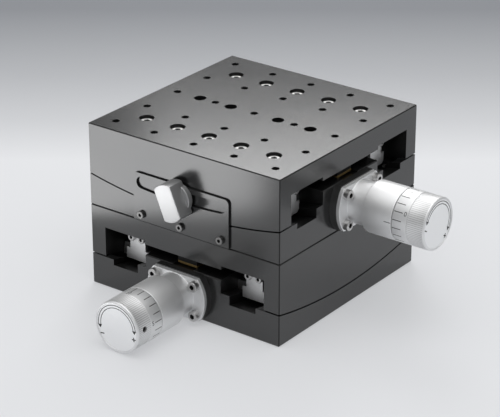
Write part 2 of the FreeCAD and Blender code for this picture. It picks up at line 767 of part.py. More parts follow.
    def rail_end_plates(self):
        """T-shaped plates that close the table rails and stop the cages."""
        plates = []
        half_neck = sheet.table_rail_width / 2
        half_foot = sheet.end_plate_flange / 2
        corner = sheet.end_plate_chamfer
        for side in SIDES:
            for end in SIDES:
                name = self.label("end_plate")
                body = new_body(name)
                near = sheet.table_rail_length / 2
                start = near if end > 0 else -(near + sheet.end_plate_thickness)
                drawing = new_sketch(body, name + "_face", "YZ_Plane", start)
                middle = sheet.rail_line * side
                outline(drawing, [
                    (middle - half_foot, sheet.end_plate_foot),
                    (middle + half_foot - corner, sheet.end_plate_foot),
                    (middle + half_foot, sheet.end_plate_foot + corner),
                    (middle + half_foot, sheet.end_plate_shoulder),
                    (middle + half_neck, sheet.end_plate_shoulder),
                    (middle + half_neck, sheet.end_plate_top),
                    (middle - half_neck, sheet.end_plate_top),
                    (middle - half_neck, sheet.end_plate_shoulder),
                    (middle - half_foot, sheet.end_plate_shoulder),
                ])
                for flank in SIDES:
                    _, y, height = self.end_screw_seat(side, end, flank)
                    ring(drawing, y, height, sheet.small_shank + clearance)
                pad(body, name + "_plate", drawing, sheet.end_plate_thickness)
                plates.append(body)
        self.place(group(self.label("end_plates"), plates), "rail_end_plates")

    def guide_screws(self):
        """Screws of the rails, from above and from below, and of their end plates."""
        seat = sheet.stage_height - sheet.head_sink - sheet.large_head_height
        rail_screws = [
            screw(self.label("rail_screw"), "z", (x, y, seat), 1,
                  sheet.large_head, sheet.large_head_height, sheet.large_shank, sheet.large_length)
            for x, y in self.rail_screw_places()
        ]
        self.place(group(self.label("rail_screw_set"), rail_screws), "table_rail_screws")
        bolts = [
            screw(self.label("rail_bolt"), "z", (x, y, sheet.rail_bolt_seat), -1,
                  sheet.small_head, sheet.small_head_height, sheet.small_shank, sheet.rail_bolt_length)
            for x, y in self.base_rail_screw_places()
        ]
        self.place(group(self.label("rail_bolt_set"), bolts), "base_rail_screws")
        end_screws = [
            screw(self.label("end_screw"), "x", self.end_screw_seat(side, end, flank), end,
                  sheet.small_head, sheet.small_head_height, sheet.small_shank, sheet.small_length)
            for side in SIDES for end in SIDES for flank in SIDES
        ]
        self.place(group(self.label("end_screw_set"), end_screws), "rail_end_screws")

    def worm_wheel(self):
        """The brass segment under the table, with its teeth along the tilt's arc."""
        name = self.label("wheel")
        body = new_body(name)
        half = sheet.wheel_length / 2
        ends = height_on_arc(wheel_tip_radius, half)
        side_view = new_sketch(body, name + "_side", "XZ_Plane")
        top = sheet.recess_ceiling
        outline(side_view, [(-half, ends), (half, ends), (half, top), (-half, top)],
                {0: (wheel_tip_radius, (0, sheet.tilt_centre))})
        pad(body, name + "_blank", side_view, sheet.wheel_width, midplane=True)

        space = new_sketch(body, name + "_space", "XZ_Plane")
        slope = tangent(sheet.tooth_angle)
        half_space = sheet.gear_module * math.pi / 4
        mouth = sheet.gear_module * sheet.tooth_mouth
        root_depth = sheet.gear_module * sheet.tooth_root
        pitch_height = sheet.tilt_centre - wheel_pitch_radius
        outline(space, [
            (-(half_space + mouth * slope), pitch_height - mouth),
            (half_space + mouth * slope, pitch_height - mouth),
            (half_space - root_depth * slope, pitch_height + root_depth),
            (-(half_space - root_depth * slope), pitch_height + root_depth),
        ])
        gap = pocket(body, name + "_gap", space, 3 * sheet.wheel_width, midplane=True)
        gap.UseCustomVector = True
        gap.Direction = Vector(0, 1, 0)
        gap.setExpression("Direction.x", (-(sheet.gear_module / (2 * sheet.worm_radius))).text)

        axis_sketch = new_sketch(body, name + "_axis", "YZ_Plane")
        tilt_axis_line(axis_sketch)
        doc.recompute()
        tooth_step = 360 / sheet.wheel_teeth.value
        reach = math.degrees(math.asin(half.value / wheel_tip_radius.value))
        spaces = int(reach / tooth_step) + 1
        for backwards in (False, True):
            row = body.newObject("PartDesign::PolarPattern", name + "_teeth")
            row.Originals = [gap]
            row.Axis = (axis_sketch, ["Axis0"])
            row.Reversed = backwards
            row.Occurrences = spaces
            bind(row, Angle=(spaces - 1) * 360 / sheet.wheel_teeth)
            body.Tip = row
            doc.recompute()
        seat = sheet.stage_height - sheet.wheel_screw_sink
        holes = [self.screw_hole("z", (x, y, seat), sheet.middle_shank, -1, sheet.middle_length)
                 for x, y in self.wheel_screw_places()]
        self.place(cut(name + "_drilled", body, holes), "worm_wheel")
        screws = [
            screw(self.label("wheel_screw"), "z", (x, y, seat), 1,
                  sheet.middle_head, sheet.middle_head_height, sheet.middle_shank, sheet.middle_length)
            for x, y in self.wheel_screw_places()
        ]
        self.place(group(self.label("wheel_screw_set"), screws), "worm_wheel_screws")

    def worm_shaft(self):
        """The worm and its shaft, one piece from the far bearing to the dial."""
        facets = SIZES["worm_facets"][0]
        module = sheet.gear_module.value
        root_radius = sheet.worm_radius.value - sheet.tooth_root.value * module
        tip_radius = sheet.worm_radius.value + module
        lead = math.pi * module
        slope = math.tan(math.radians(sheet.tooth_angle.value))
        half_thread = math.pi * module / 4 - sheet.tooth_play.value / 2
        sunk_radius = root_radius - sheet.thread_sink.value
        half_tip = half_thread - module * slope
        half_sunk = half_thread + (sheet.worm_radius.value - sunk_radius) * slope
        turns = sheet.worm_turns.value

        def section(turn):
            angle = 2 * math.pi * turn
            out = Vector(0, -math.sin(angle), math.cos(angle))
            middle = Vector(lead * turn, 0, 0)
            corners = [(-half_sunk, sunk_radius), (-half_tip, tip_radius),
                       (half_tip, tip_radius), (half_sunk, sunk_radius)]
            points = [middle + Vector(along, 0, 0) + out * radius for along, radius in corners]
            return Part.makePolygon(points + points[:1])

        steps = int(turns * facets)
        sections = [section(step / facets - turns / 2) for step in range(steps + 1)]
        thread = Part.makeLoft(sections, True, True)
        core_half = lead * (turns + 1) / 2
        corners = []
        for index in range(facets):
            angle = 2 * math.pi * (index + 0.5) / facets
            corners.append(Vector(-core_half, root_radius * math.cos(angle), root_radius * math.sin(angle)))
        core = Part.Face(Part.makePolygon(corners + corners[:1])).extrude(Vector(2 * core_half, 0, 0))

        def length_of(radius, start, end):
            return Part.makeCylinder(radius, end - start, Vector(start, 0, 0), Vector(1, 0, 0))

        shoulder = bearing_front.value
        journal = sheet.journal_radius.value
        shaft_end = cap_end.value - sheet.cap_wall.value
        lengths = [
            length_of(journal, -bearing_back.value, -shoulder),
            length_of(sheet.shaft_radius.value, -shoulder, -core_half),
            length_of(sheet.shaft_radius.value, core_half, shoulder),
            length_of(journal, shoulder, shaft_end),
        ]
        piece = doc.addObject("Part::Feature", self.label("worm_and_shaft"))
        piece.Shape = thread.fuse([core] + lengths)
        self.place_on_axis(piece, "worm_shaft")

    def worm_bearings(self):
        """A bearing at each end of the worm shaft."""
        rings = []
        outer_radius = sheet.bearing_radius - clearance / 2
        bore = sheet.journal_radius + clearance
        through = sheet.bearing_width + 2 * clearance
        for start in (-bearing_back, bearing_front):
            name = self.label("bearing")
            outside = bar(name, "x", outer_radius, (start, 0, worm_axis), sheet.bearing_width)
            inside = bar(name, "x", bore, (start - clearance, 0, worm_axis), through)
            rings.append(cut(name + "_ring", outside, [inside]))
        self.place(group(self.label("bearings"), rings), "worm_bearings")

    def flange_screw_places(self):
        return [(sheet.flange_screw_side * side, sheet.flange_screw_rise * rise)
                for side in SIDES for rise in SIDES]

    def disc_with_flats(self, drawing, radius, top, bottom):
        """A disc cut off flat above and below its centre."""
        across_top = root(radius * radius - top * top)
        across_bottom = root(radius * radius - bottom * bottom)
        outline(drawing, [
            (-across_bottom, -bottom), (across_bottom, -bottom), (across_top, top), (-across_top, top),
        ], {1: (radius, (0, 0)), 3: (radius, (0, 0))})

    def place_on_axis(self, piece, node, turn=0):
        """Puts a piece that was drawn about the X axis on the worm's axis."""
        self.place(piece, node)
        about_axis = FreeCAD.Rotation(Vector(1, 0, 0), turn)
        piece.Placement = FreeCAD.Placement(Vector(), self.turn.multiply(about_axis))
        bind_place(piece, 0, 0, self.rise + worm_axis)

    def bearing_boss(self):
        """The black boss that carries the sleeve and keeps the bearing in."""
        name = self.label("boss")
        body = new_body(name)
        face = new_sketch(body, name + "_face", "YZ_Plane", half_plate)
        flat = sheet.core_height - worm_axis
        self.disc_with_flats(face, sheet.boss_radius, flat, flat)
        for y, height in self.flange_screw_places():
            ring(face, y, height, sheet.middle_shank + clearance)
        pad(body, name + "_disc", face, sheet.boss_thickness)
        spigot = new_sketch(body, name + "_spigot_face", "YZ_Plane", bearing_back)
        ring(spigot, 0, 0, sheet.bearing_radius - clearance)
        pad(body, name + "_spigot", spigot, sheet.bearing_inset)
        hole = new_sketch(body, name + "_hole_face", "YZ_Plane", boss_face)
        ring(hole, 0, 0, sheet.sleeve_bore)
        pocket(body, name + "_hole", hole, sheet.boss_thickness + sheet.bearing_inset)
        self.place_on_axis(body, "bearing_boss")

    def dial_sleeve(self):
        """The fixed sleeve with its flange, neck and index edge."""
        name = self.label("sleeve")
        body = new_body(name)
        face = new_sketch(body, name + "_face", "YZ_Plane", boss_face)
        self.disc_with_flats(face, sheet.flange_radius, sheet.flange_flat, sheet.flange_flat)
        for y, height in self.flange_screw_places():
            ring(face, y, height, sheet.middle_shank + clearance)
        pad(body, name + "_flange", face, sheet.flange_thickness)
        side_view = new_sketch(body, name + "_side", "XZ_Plane")
        corner = sheet.dial_chamfer
        step = sheet.dial_radius - sheet.neck_radius
        outline(side_view, [
            (boss_face, sheet.sleeve_bore),
            (boss_face, sheet.neck_radius),
            (sleeve_start - step, sheet.neck_radius),
            (sleeve_start, sheet.dial_radius),
            (sleeve_end - corner, sheet.dial_radius),
            (sleeve_end, sheet.dial_radius - corner),
            (sleeve_end, sheet.sleeve_bore),
        ])
        turned(body, name + "_barrel", side_view)
        hole = new_sketch(body, name + "_hole_face", "YZ_Plane", sleeve_end)
        ring(hole, 0, 0, sheet.sleeve_bore)
        pocket(body, name + "_hole", hole, sleeve_end - boss_face)
        self.place_on_axis(body, "dial_sleeve")
        length = sheet.middle_length + sheet.flange_thickness
        screws = [
            screw(self.label("flange_screw"), "x", (flange_face, y, worm_axis + height), 1,
                  sheet.middle_head, sheet.middle_head_height, sheet.middle_shank, length)
            for y, height in self.flange_screw_places()
        ]
        self.place(group(self.label("flange_screw_set"), screws), "flange_screws")

    def dial_ring(self):
        """The graduated ring on the cap's hub."""
        name = self.label("graduated_ring")
        body = new_body(name)
        side_view = new_sketch(body, name + "_side", "XZ_Plane")
        corner = sheet.dial_chamfer
        bore = sheet.hub_radius + clearance
        outline(side_view, [
            (dial_start, bore),
            (dial_start, sheet.dial_radius - corner),
            (dial_start + corner, sheet.dial_radius),
            (cap_start, sheet.dial_radius),
            (cap_start, bore),
        ])
        turned(body, name + "_ring", side_view)
        self.place_on_axis(body, "dial_ring")

    def knob_cap(self):
        """The cap that turns the shaft: hub, grip and rounded end."""
        name = self.label("cap")
        body = new_body(name)
        side_view = new_sketch(body, name + "_side", "XZ_Plane")
        corner = sheet.dial_chamfer
        rounding = sheet.cap_rounding
        bore = sheet.journal_radius + clearance / 2
        outline(side_view, [
            (dial_start, bore),
            (dial_start, sheet.hub_radius),
            (cap_start, sheet.hub_radius),
            (cap_start, sheet.dial_radius - corner),
            (cap_start + corner, sheet.dial_radius),
            (cap_end - rounding, sheet.dial_radius),
            (cap_end, sheet.dial_radius - rounding),
            (cap_end, 0),
            (cap_end - sheet.cap_wall, 0),
            (cap_end - sheet.cap_wall, bore),
        ], {5: (rounding, (cap_end - rounding, sheet.dial_radius - rounding))})
        turned(body, name + "_grip", side_view)
        set_screw_line = cap_start + sheet.set_screw_place
        hole = new_sketch(body, name + "_hole_face", "XY_Plane")
        ring(hole, set_screw_line, 0, sheet.set_screw_radius + clearance)
        drilled = pocket(body, name + "_hole", hole, sheet.dial_radius)
        drilled.Reversed = True
        turn = SIZES["set_screw_turn"][0]
        self.place_on_axis(body, "knob_cap", turn)
        pin_start = (set_screw_line, 0, sheet.journal_radius + clearance)
        pin_length = sheet.dial_radius - sheet.set_screw_sink - sheet.journal_radius - clearance
        pin = bar(self.label("set_screw_bar"), "z", sheet.set_screw_radius, pin_start, pin_length)
        self.place_on_axis(group(self.label("set_screw_set"), [pin]), "knob_set_screw", turn)

    def clamp_plate(self):
        """The plate on the base's side with the curved slot of the clamp stud."""
        name = self.label("slotted_plate")
        body = new_body(name)
        half = sheet.clamp_plate_width / 2
        corner = sheet.clamp_plate_rounding
        top = sheet.clamp_plate_top
        face = new_sketch(body, name + "_face", "XZ_Plane", half_plate)
        outline(face, [
            (-half, sheet.clamp_plate_foot), (half, sheet.clamp_plate_foot), (half, top - corner),
            (half - corner, top), (-(half - corner), top), (-half, top - corner),
        ], {2: (corner, (half - corner, top - corner)), 4: (corner, (-(half - corner), top - corner))})
        hole = sheet.small_shank + clearance
        for step in CLAMP_SCREW_STEPS:
            ring(face, sheet.clamp_screw_pitch * step, sheet.clamp_screw_height, hole)
        pad(body, name + "_plate", face, sheet.clamp_plate_thickness)
        slot = new_sketch(body, name + "_slot_face", "XZ_Plane", plate_face)
        self.curved_slot(slot, sheet.slot_width / 2)
        pocket(body, name + "_slot", slot, sheet.clamp_plate_thickness)
        self.place(body, "clamp_plate")
        screws = [
            screw(self.label("clamp_plate_screw"), "y",
                  (sheet.clamp_screw_pitch * step, -plate_face, sheet.clamp_screw_height), -1,
                  sheet.small_head, sheet.small_head_height, sheet.small_shank, sheet.small_length)
            for step in CLAMP_SCREW_STEPS
        ]
        self.place(group(self.label("clamp_plate_screw_set"), screws), "clamp_plate_screws")

    def curved_slot(self, drawing, half_width):
        """A slot along the clamp stud's path about the tilt centre."""
        angle = sheet.tilt_travel + sheet.slot_reserve
        inner = clamp_path_radius - half_width
        outer = clamp_path_radius + half_width

        def point(radius, side):
            return (radius * sine(angle) * side, sheet.tilt_centre - radius * cosine(angle))

        centre = (0, sheet.tilt_centre)
        outline(drawing, [point(outer, -1), point(outer, 1), point(inner, 1), point(inner, -1)], {
            0: (outer, centre),
            1: (half_width, point(clamp_path_radius, 1)),
            2: (inner, centre),
            3: (half_width, point(clamp_path_radius, -1)),
        })

    def clamp_knob(self):
        """The wing knob and its stud, which clamp the table to the plate."""
        name = self.label("wing_knob")
        body = new_body(name)
        back = plate_face + sheet.clamp_running_gap
        disc_face = back + sheet.knob_disc
        disc = new_sketch(body, name + "_disc_face", "XZ_Plane", back)
        ring(disc, 0, 0, sheet.knob_radius)
        pad(body, name + "_disc", disc, sheet.knob_disc)
        wing = new_sketch(body, name + "_wing_face", "XZ_Plane", disc_face)
        half = sheet.wing_width / 2
        reach = root(sheet.knob_radius * sheet.knob_radius - half * half)
        outline(wing, [(-half, -reach), (half, -reach), (half, reach), (-half, reach)],
                {0: (sheet.knob_radius, (0, 0)), 2: (sheet.knob_radius, (0, 0))})
        grip = pad(body, name + "_wing", wing, sheet.wing_depth)
        doc.recompute()
        front = -(disc_face + sheet.wing_depth).value
        edges = [f"Edge{index}" for index, edge in enumerate(grip.Shape.Edges, start=1)
                 if max(abs(edge.BoundBox.YMin - front), abs(edge.BoundBox.YMax - front)) < SAME_PLACE]
        fillet = body.newObject("PartDesign::Fillet", name + "_rim")
        fillet.Base = (grip, edges)
        bind(fillet, Radius=sheet.wing_rounding)
        hole = new_sketch(body, name + "_hole_face", "XZ_Plane", back)
        ring(hole, 0, 0, sheet.stud_radius + clearance / 2)
        bore = pocket(body, name + "_hole", hole, sheet.knob_disc + sheet.wing_depth / 2)
        bore.Reversed = True
        self.place_clamp(body, "clamp_knob")
        stud_end = disc_face + sheet.wing_depth / 2 - clearance
        stud_start = half_plate - sheet.stud_reach + clearance
        length = stud_end - stud_start
        rod = bar(self.label("clamp_stud_bar"), "y", sheet.stud_radius, (0, -stud_end, 0), length)
        self.place_clamp(group(self.label("clamp_stud_set"), [rod]), "clamp_stud")

    def place_clamp(self, piece, node):
        """Puts a piece that was drawn about the Y axis on the clamp's axis."""
        self.place(piece, node)
        lean = FreeCAD.Rotation(Vector(0, 1, 0), -SIZES["wing_lean"][0])
        piece.Placement = FreeCAD.Placement(Vector(), self.turn.multiply(lean))
        bind_place(piece, 0, 0, self.rise + sheet.clamp_height)

    def build(self):
        self.base()
        self.table()
        self.table_rails()
        self.base_rails()
        self.rollers()
        self.roller_cages()
        self.rail_end_plates()
        self.guide_screws()
        self.worm_wheel()
        self.worm_shaft()
        self.worm_bearings()
        self.bearing_boss()
        self.dial_sleeve()
        self.dial_ring()
        self.knob_cap()
        self.clamp_plate()
        self.clamp_knob()


def joining_screws(upper):
    """The four screws that hold the upper base to the lower table."""
    reach = sheet.mount_pitch / 2
    screws = [
        screw("joining_screw", "z", (reach * x_side, reach * y_side, sheet.mount_seat), 1,
              sheet.joining_head, sheet.joining_head_height,
              sheet.joining_shank - clearance, sheet.joining_length)
        for x_side in SIDES for y_side in SIDES
    ]
    upper.place(group("joining_screw_set", screws), "stage_screws")


def check_and_write(nodes):
    """Stops at any failed feature or bad solid, then writes one file per node."""
    doc.recompute()
    for item in doc.Objects:
        if "Invalid" in item.State or "Error" in item.State:
            raise RuntimeError(f"{item.Label}: {item.State}")
    for name, item in nodes.items():
        if item.Shape.isNull() or not item.Shape.isValid() or not item.Shape.Solids:
            raise RuntimeError(f"{name}: no sound solid")
    os.makedirs("parts", exist_ok=True)
    for name, item in nodes.items():
        item.Shape.exportStep(f"parts/{name}.step")
        print(name, len(item.Shape.Solids), round(item.Shape.Volume, 2))


# The joining screws take the four corner holes of the lower table
lower_stage = Stage("lower", -90, as_size(0), sheet.joining_shank)
upper_stage = Stage("upper", 0, sheet.stage_height, sheet.large_shank)
lower_stage.build()
upper_stage.build()
joining_screws(upper_stage)
check_and_write({**lower_stage.nodes, **upper_stage.nodes})
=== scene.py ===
"""Two-axis goniometer stage: the dressed model, its studio and its camera.

Sizes of the pieces are in millimetres, as on a drawing, and become metres where a mesh is made.
A stage's own frame has +X towards its dial and -Y towards its clamp.
"""

import logging
import math
from collections.abc import Iterable, Sequence
from dataclasses import dataclass
from enum import Enum
from typing import TypeAlias

import bmesh
import bpy
from mathutils import Matrix, Vector


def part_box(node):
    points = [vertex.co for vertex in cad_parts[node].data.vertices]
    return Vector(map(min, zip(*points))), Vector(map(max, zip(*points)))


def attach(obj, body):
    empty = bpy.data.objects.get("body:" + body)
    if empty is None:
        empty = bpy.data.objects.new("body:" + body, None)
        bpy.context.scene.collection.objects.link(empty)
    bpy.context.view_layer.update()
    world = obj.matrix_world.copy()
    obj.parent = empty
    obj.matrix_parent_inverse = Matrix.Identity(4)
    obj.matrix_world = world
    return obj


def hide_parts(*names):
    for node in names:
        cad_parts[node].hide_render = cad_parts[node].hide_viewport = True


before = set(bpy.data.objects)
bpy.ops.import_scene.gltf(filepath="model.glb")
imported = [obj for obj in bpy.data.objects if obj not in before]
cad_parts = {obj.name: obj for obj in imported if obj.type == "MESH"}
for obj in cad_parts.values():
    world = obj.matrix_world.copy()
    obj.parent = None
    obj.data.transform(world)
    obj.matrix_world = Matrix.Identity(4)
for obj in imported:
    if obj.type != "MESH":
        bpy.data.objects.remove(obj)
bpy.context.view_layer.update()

# Sizes that several pieces share
MM = 0.001
SMOOTH_UP_TO = math.radians(32)
STAGE_HEIGHT = 45.0
TILT_HEIGHT = 291.0
WORM_HEIGHT = 14.0
CLAMP_HEIGHT = 20.3
CLAMP_PLATE_FRONT = 61.2
FLANGE_FACE = 66.0
RAIL_LINE = 37.5
DIGIT_HALF_THICKNESS = 0.04
TOUCH = 0.001
UP = Vector((0, 0, 1))

Colour: TypeAlias = tuple[float, float, float, float]
Numbers: TypeAlias = tuple[float, float, float]
Pair: TypeAlias = tuple[float, float]
Input: TypeAlias = "Value | float"
Paint: TypeAlias = "Value | Colour"

log = logging.getLogger("goniometer_stage")


def grey(level: float, warmth: float = 0.0) -> Colour:
    """A grey of a linear level, warmer (more red) or cooler (less red) by warmth."""
    return (level * (1 + warmth), level, level * (1 - warmth), 1.0)


# Directions


@dataclass(frozen=True)
class Spindle:
    """An axis with its side and up directions, for round pieces about it."""

    origin: Vector
    along: Vector
    side: Vector

    def at(self, along: float, radius: float, angle: float) -> Vector:
        """A point about the axis.

        Args:
            along: distance along the axis, in mm.
            radius: distance from it, in mm.
            angle: from up towards the side, in degrees.

        Returns:
            The point, in metres.
        """
        return self.origin + (self.along * along + self.out(angle) * radius) * MM

    def out(self, angle: float) -> Vector:
        """The outward direction at an angle from up towards the side."""
        turn = math.radians(angle)
        return self.side * math.sin(turn) + UP * math.cos(turn)

    def lathe(self, name: str, profile: Sequence[Pair], segments: int = 144) -> bpy.types.Mesh:
        """Turns a profile about the axis.

        Args:
            name: the mesh's name.
            profile: pairs of place and radius; a radius of 0 is a pole, and without poles it is a loop.
            segments: flats about the axis.

        Returns:
            The closed mesh.
        """
        shape = bmesh.new()
        rings = []
        for along, radius in profile:
            turns = range(segments if radius else 1)
            rings.append([shape.verts.new(self.at(along, radius, 360 * turn / segments)) for turn in turns])
        pairs = list(zip(rings, rings[1:]))
        if profile[0][1] and profile[-1][1]:
            pairs.append((rings[-1], rings[0]))
        for first, second in pairs:
            for turn in range(segments):
                follow = (turn + 1) % segments
                corners = [first[turn % len(first)], first[follow % len(first)],
                           second[follow % len(second)], second[turn % len(second)]]
                shape.faces.new(list(dict.fromkeys(corners)))
        return mesh_of(shape, name)


# Node trees


def pick(sockets: Iterable[bpy.types.NodeSocket], key: int | str) -> bpy.types.NodeSocket:
    """Finds a socket.

    Args:
        sockets: a node's inputs or outputs.
        key: the place in the list, or the identifier, or the name.

    Returns:
        The socket.
    """
    listed = list(sockets)
    if isinstance(key, int):
        return listed[key]
    for socket in listed:
        if socket.identifier == key:
            return socket
    return next(socket for socket in listed if socket.name == key and socket.enabled)


@dataclass(frozen=True)
class Value:
    """What a node's socket gives. Operators on it add Math nodes to its graph."""

    graph: "Graph"
    socket: bpy.types.NodeSocket | None

    def math(self, operation: str, *others: Input, first: "Input | None" = None) -> "Value":
        """Adds a Math node.

        Args:
            operation: the node's operation.
            others: the inputs after the first.
            first: the first input, this value when left out.

        Returns:
            The node's result.
        """
        given = [self if first is None else first, *others]
        return self.graph.node("ShaderNodeMath", {"operation": operation}, dict(enumerate(given)))

    def __add__(self, other: Input) -> "Value":
        """This plus other, or other plus this."""
        return self.math("ADD", other)

    def __sub__(self, other: Input) -> "Value":
        """This less other."""
        return self.math("SUBTRACT", other)

    def __rsub__(self, other: float) -> "Value":
        """A number less this."""
        return self.math("SUBTRACT", self, first=other)

    def __mul__(self, other: Input) -> "Value":
        """This times other, or other times this."""
        return self.math("MULTIPLY", other)

    def __pow__(self, other: float) -> "Value":
        """This to the power of a number."""
        return self.math("POWER", other)

    __radd__ = __add__
    __rmul__ = __mul__


@dataclass(frozen=True)
class Noise:
    """A noise of 0 to 1: its scale in cells per metre, its detail and its roughness."""

    scale: float
    detail: float = 2.0
    rough: float = 0.5


@dataclass(frozen=True)
class Graph:
    """A shader or Geometry Nodes tree that is written as expressions."""

    tree: bpy.types.NodeTree

    def node(self, kind: str, settings: dict | None = None, inputs: dict | None = None,
             output: int | str = 0) -> Value:
        """Adds a node.

        Args:
            kind: the node's type.
            settings: its properties, which are set first; stops are a colour ramp's.
            inputs: values or links by the sockets' place, identifier or name.
            output: the socket to give back.

        Returns:
            The output's value.
        """
        made = self.tree.nodes.new(kind)
        for name, setting in (settings or {}).items():
            if name == "stops":
                self.set_stops(made.color_ramp, setting)
            else:
                setattr(made, name, setting)
        for key, given in (inputs or {}).items():
            socket = pick(made.inputs, key)
            if isinstance(given, Value):
                self.tree.links.new(given.socket, socket)
            else:
                socket.default_value = given
        return Value(self, pick(made.outputs, output) if len(made.outputs) else None)

    @staticmethod
    def set_stops(ramp: bpy.types.ColorRamp, stops: Sequence[tuple[float, Colour]]) -> None:
        """Gives a colour ramp its stops.

        Args:
            ramp: the ramp of a new node, with its two first stops.
            stops: places and colours, at least two.
        """
        while len(ramp.elements) < len(stops):
            ramp.elements.new(1.0)
        for element, (place, colour) in zip(ramp.elements, stops):
            element.position = place
            element.color = colour

    def place(self) -> Value:
        """The point on the object, in metres."""
        return self.node("ShaderNodeTexCoord", output="Object")

    def along(self, vector: Value, axis: str) -> Value:
        """One of a vector's three numbers."""
        return self.node("ShaderNodeSeparateXYZ", inputs={0: vector}, output=axis)

    def vector_math(self, operation: str, *given: "Value | Sequence[float]", output: str = "Vector") -> Value:
        """A Vector Math node's result."""
        return self.node("ShaderNodeVectorMath", {"operation": operation}, dict(enumerate(given)), output)

    def about(self, spindle: Spindle) -> tuple[Value, Value, Value, Value]:
        """The point on the object as a spindle sees it.

        Args:
            spindle: the axis.

        Returns:
            How far the point is along the axis, to its side, above it, and from it, in metres.
        """
        place = self.vector_math("SUBTRACT", self.place(), tuple(spindle.origin))
        along, side, above = (self.vector_math("DOT_PRODUCT", place, tuple(way), output="Value")
                              for way in (spindle.along, spindle.side, UP))
        return along, side, above, (side ** 2 + above ** 2) ** 0.5

    def noise(self, place: Value, kind: Noise) -> Value:
        """A noise in space."""
        return self.node("ShaderNodeTexNoise", {"noise_dimensions": "3D"}, {
            "Vector": place, "Scale": kind.scale, "Detail": kind.detail, "Roughness": kind.rough})

    def ridges(self, distance: Value, kind: Noise) -> Value:
        """A noise along one distance, as a tool leaves it."""
        return self.node("ShaderNodeTexNoise", {"noise_dimensions": "1D"}, {
            "W": distance, "Scale": kind.scale, "Detail": kind.detail})

    def step(self, value: Value, low: float, high: float) -> Value:
        """A soft step from 0 at low to 1 at high."""
        return self.node("ShaderNodeMapRange", {"interpolation_type": "SMOOTHSTEP"},
                         {"Value": value, "From Min": low, "From Max": high})

    def mix(self, factor: Input, first: Paint, second: Paint) -> Value:
        """A colour between two."""
        return self.node("ShaderNodeMix", {"data_type": "RGBA"},
                         {"Factor_Float": factor, "A_Color": first, "B_Color": second}, "Result_Color")

    def shader(self, colour: Value, metal: Input, rough: Value, height: Value, depth: float,
               strength: float = 0.3) -> Value:
        """Adds the shader of a hard finish.

        Args:
            colour: the base colour.
            metal: how metallic it is.
            rough: its roughness.
            height: its relief, 0 to 1.
            depth: the depth of that relief, in mm.
            strength: the strength of that relief.

        Returns:
            The shader.
        """
        normal = self.node("ShaderNodeBump", inputs={
            "Height": height, "Distance": depth * MM, "Strength": strength})
        return self.node("ShaderNodeBsdfPrincipled", inputs={
            "Base Color": colour, "Metallic": metal, "Roughness": rough, "Normal": normal})


# Finishes


@dataclass(frozen=True)
class Finish:
    """A surface as the shop leaves it; a subclass says how it is shaded."""

    name: str

    def surface(self, graph: Graph) -> Value:
        """Adds the shader's nodes and returns the shader."""
        raise NotImplementedError

    def material(self) -> bpy.types.Material:
        """Makes the material, once for each name.

        Returns:
            The material.
        """
        found = bpy.data.materials.get(self.name)
        if found:
            return found
        made = bpy.data.materials.new(self.name)
        made.use_nodes = True
        made.node_tree.nodes.clear()
        graph = Graph(made.node_tree)
        graph.node("ShaderNodeOutputMaterial", inputs={"Surface": self.surface(graph)})
        return made

    def dress(self, piece: bpy.types.Object) -> None:
        """Puts the material in every slot of a piece.

        Args:
            piece: the piece.
        """
        if not piece.material_slots:
            piece.data.materials.append(self.material())
        for slot in piece.material_slots:
            slot.material = self.material()


@dataclass(frozen=True)
class BlackAnodising(Finish):
    """Bead-blasted aluminium, dyed black: a satin outside, and painted shade, near black, on all that lies
    behind the
    outer faces: the bores and pockets, and the chamfers, where it stands for their dark reflections.

    Low and high are the corners of the piece's box, and faces names the axes whose sides count. Where
    there is a line, it is the depth in mm at which the painted shade ends again.
    """

    low: Vector | None = None
    high: Vector | None = None
    faces: str = "XYZ"
    line: float | None = None
    dark: float = 0.075
    pale: float = 0.1
    # painted shade: the near-black colour of bores, pockets and chamfers behind the outer faces
    inner: float = 0.012
    metal: float = 0.88
    rough: float = 0.16
    clouds: Noise = Noise(14, 3)
    spots: Noise = Noise(90, 4, 0.6)
    grain: Noise = Noise(5200)
    inside_from: float = 0.02
    inside_at: float = 0.06
    line_fade: float = 0.1

    def depth(self, graph: Graph, place: Value) -> Value:
        """How far a point lies behind the outer faces.

        Args:
            graph: the material's graph.
            place: the point on the piece.

        Returns:
            The depth, in metres.
        """
        half = (self.high - self.low) / 2
        offset = graph.vector_math("SUBTRACT", place, tuple(self.low + half))
        inside = graph.vector_math("SUBTRACT", tuple(half), graph.vector_math("ABSOLUTE", offset))
        found = graph.along(inside, self.faces[0])
        for name in self.faces[1:]:
            found = found.math("MINIMUM", graph.along(inside, name))
        return found

    def surface(self, graph: Graph) -> Value:
        """Adds the shader's nodes.

        Args:
            graph: the material's graph.

        Returns:
            The shader.
        """
        place = graph.place()
        clouds, spots, grain = (graph.noise(place, kind) for kind in (self.clouds, self.spots, self.grain))
        rubbed = graph.step(spots, 0.58, 0.74) * graph.step(clouds, 0.45, 0.7)
        colour = graph.mix(clouds, grey(self.dark, -0.02), grey(self.pale, 0.01))
        rough = self.rough + clouds * 0.04 + grain * 0.04 - rubbed * 0.03
        metal: Input = self.metal
        # painted shade: behind the outer faces (bores, pockets, chamfers) the colour goes near black, less
        # metallic and rougher; a line ends it again
        if self.low:
            depth = self.depth(graph, place)
            shade_share = graph.step(depth, self.inside_from * MM, self.inside_at * MM)
            if self.line:
                shade_share = shade_share - graph.step(depth, self.line * MM, (self.line + self.line_fade) * MM)
            colour = graph.mix(shade_share, colour, grey(self.inner))
            rough = rough + shade_share * 0.2
            metal = self.metal - shade_share * 0.5
        return graph.shader(colour, metal, rough, grain, 0.03)


